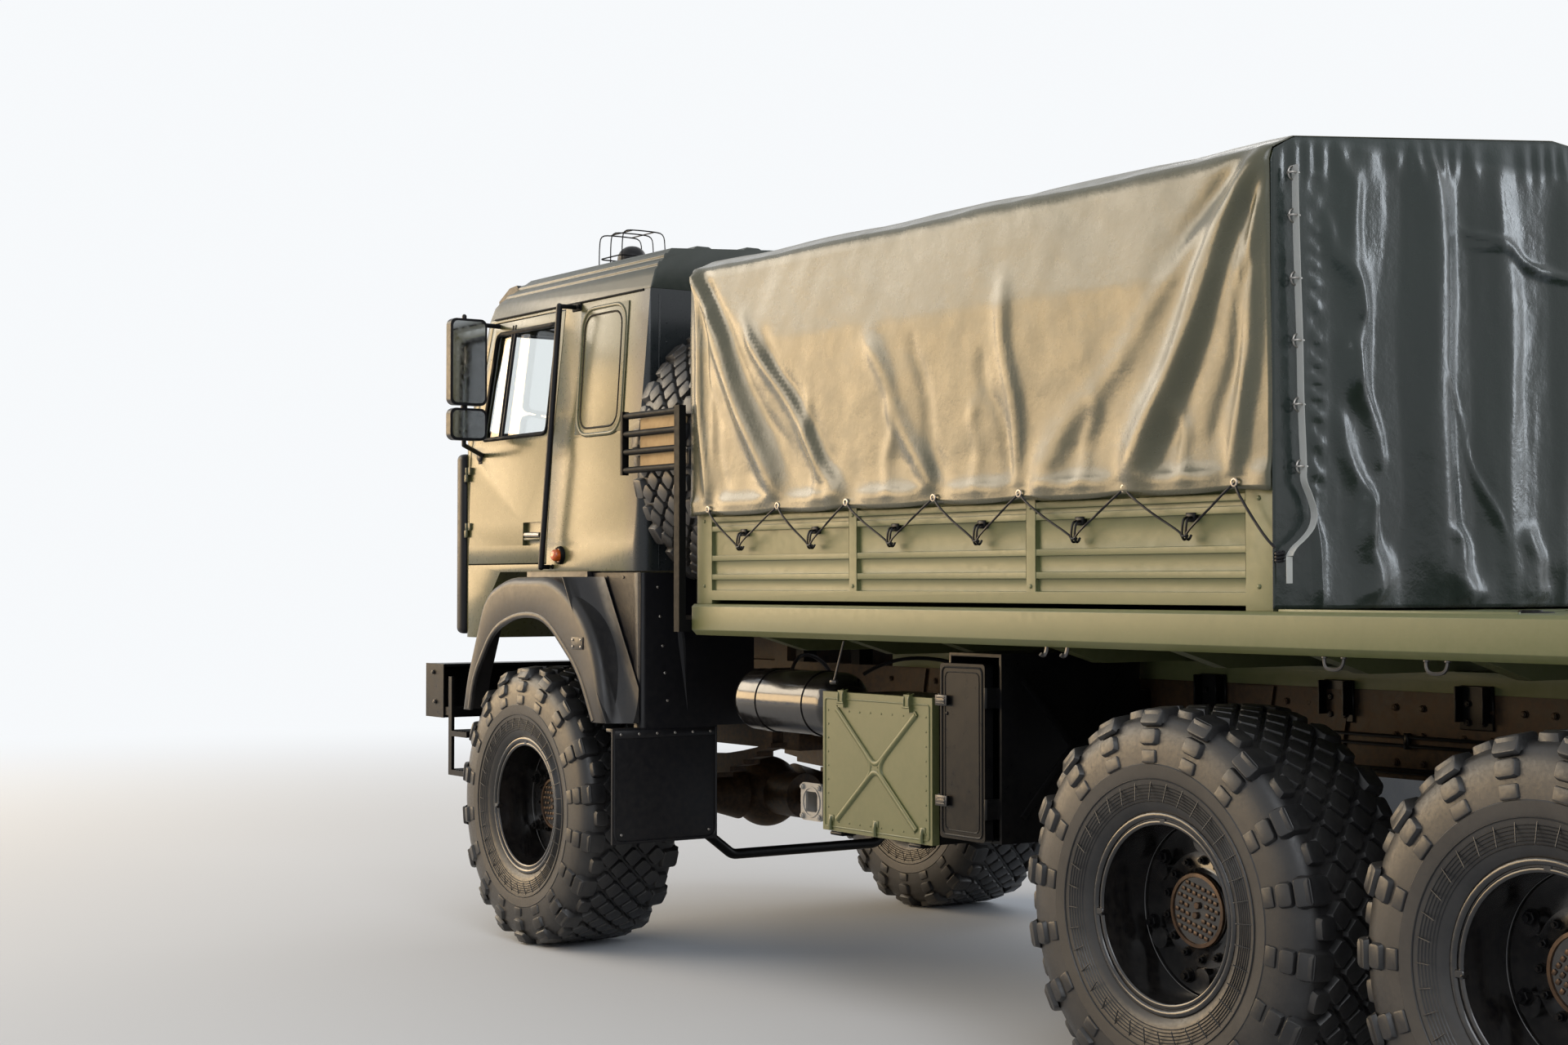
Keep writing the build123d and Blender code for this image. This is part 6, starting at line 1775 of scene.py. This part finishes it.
def dressFront():
    f = front
    frames, treads, bolts = newMeshes(3)
    for side in (1, -1):
        for y0, y1 in f["lamps"]:
            outline = roundedFrame(y0, y1, *f["lampZ"], 0.016, lambda y, z: (f["lampFace"], side * y, z))
            addLoop(frames, outline, 0.0062)
        for z in f["stepZs"]:
            for x in f["treadXs"]:
                addSideBlock(treads, side, (x - 0.004, 1.065, z + 0.0255), (x + 0.004, 1.232, z + 0.0305), 0.0012)
        addCopies(bolts, boltHead, [onSide(*spot, side) for spot in f["endBolts"]])
        addCopies(bolts, boltHead, [standing(x, side * y, z, "front") for x, y, z in f["faceBolts"]])
    addCopies(bolts, screw, [standing(*spot, "front") for spot in f["grilleScrews"]])
    keepPiece("lamp_frames", frames, "root", "blackPlastic")
    keepPiece("step_treads", treads, "root", "blackPaint", 40)
    keepPiece("front_bolts", bolts, "root", "latchSteel")


# Cab's rear wall: rivet rows, joint lines and pressed ribs; black side plates between arch and mudguard

rearWall = {
    "x": 2.345,
    "ribYs": (0.30, 0.62, 0.94),
    "ribZs": (1.80, 2.0, 2.4, 2.75, 2.84),
    "rivetY": 1.085,
    "rivetZs": [1.74 + 0.085 * k for k in range(13)],
    "jointY": 1.120,
}
sidePlate = {
    "y": 1.205,
    "thick": 0.004,
    "outline": [
        (2.358, 1.052), (2.462, 1.052), (2.500, 1.200), (2.585, 1.400), (2.700, 1.570), (2.780, 1.684), (2.358, 1.684),
    ],
    "screws": ((2.374, 1.10), (2.374, 1.28), (2.374, 1.46), (2.374, 1.64), (2.50, 1.662), (2.64, 1.662)),
}


def dressCabBack():
    w = rearWall
    lines, dots = newMeshes(2)
    x, joint = w["x"], w["jointY"]
    for side in (1, -1):
        addCopies(dots, smallRivet, [standing(x, side * w["rivetY"], z, "back") for z in w["rivetZs"]])
        addSideBlock(lines, side, (x - 0.0025, joint - 0.004, 1.70), (x + 0.001, joint + 0.004, 2.880), 0.001)
        for y in w["ribYs"]:
            addTube(lines, [(x, side * y, z) for z in w["ribZs"]], 0.014, sides=12, resolution=3)
    scaleAbout(lines, (0.6, 1, 1), (x, 0, 0))
    keepPiece("cab_back_ribs", lines, "cab", "cabPaint")
    keepPiece("cab_back_rivets", dots, "cab", "cabPaint")


def addSidePlate(side):
    p = sidePlate
    plate = bmesh.new()
    face = plate.faces.new([plate.verts.new((x, side * p["y"], z)) for x, z in p["outline"]])
    solid = bmesh.ops.extrude_face_region(plate, geom=[face])
    moved = [v for v in solid["geom"] if isinstance(v, bmesh.types.BMVert)]
    bmesh.ops.translate(plate, vec=(0, -side * p["thick"], 0), verts=moved)
    bmesh.ops.recalc_face_normals(plate, faces=plate.faces)
    bevelEdges(plate, list(plate.edges), 0.0012)
    addCopies(plate, screw, [onSide(x, p["y"], z, side) for x, z in p["screws"]])
    keepPiece(f"arch_side_{sideNames[side]}", plate, "cab", "blackPlastic", 40)


# Frame: hanging brackets under the bed and two pipes along the rails

frameFittings = {
    "bracketXs": (-0.28, -0.86, -1.42, -1.98, -2.56, -3.14, -3.72),
    "bracketBolts": [(dx, z) for dx in (-0.030, 0.030) for z in (1.205, 1.262)],
    "railY": 0.431,
    "pipeZs": (1.118, 1.146),
    "pipeRun": ((0.10, 0.05), (-0.02, 0), (-1.4, 0), (-2.9, 0), (-3.05, -0.04)),
    "clipXs": (-0.55, -1.15, -1.75, -2.30, -2.90),
}


def dressFrame():
    f = frameFittings
    brackets, pipes = newMeshes(2)
    rail = f["railY"]
    for side in (1, -1):
        for x in f["bracketXs"]:
            addSideBlock(brackets, side, (x - 0.065, rail, 1.180), (x + 0.065, rail + 0.009, 1.318), 0.003)
            for edge in (x - 0.056, x + 0.048):
                low, high = (edge, rail + 0.006, 1.205), (edge + 0.008, rail + 0.046, 1.316)
                addSideBlock(brackets, side, low, high, 0.002)
            addCopies(brackets, boltHead, [onSide(x + dx, rail + 0.009, z, side) for dx, z in f["bracketBolts"]])
        for z in f["pipeZs"]:
            run = [(x, side * (rail + 0.012), z + up) for x, up in f["pipeRun"]]
            addTube(pipes, run, 0.0062, resolution=4)
        for x in f["clipXs"]:
            addSideBlock(pipes, side, (x - 0.010, rail, 1.106), (x + 0.010, rail + 0.020, 1.158), 0.003)
    keepPiece("frame_brackets", brackets, "root", "blackPaint", 40)
    keepPiece("frame_pipes", pipes, "root", "blackPaint")


dressDeck()
dressRear()
dressFront()
dressCabBack()
for side in (1, -1):
    addSidePlate(side)
dressFrame()
print("deck, rear, front, cab's back and frame dressed")
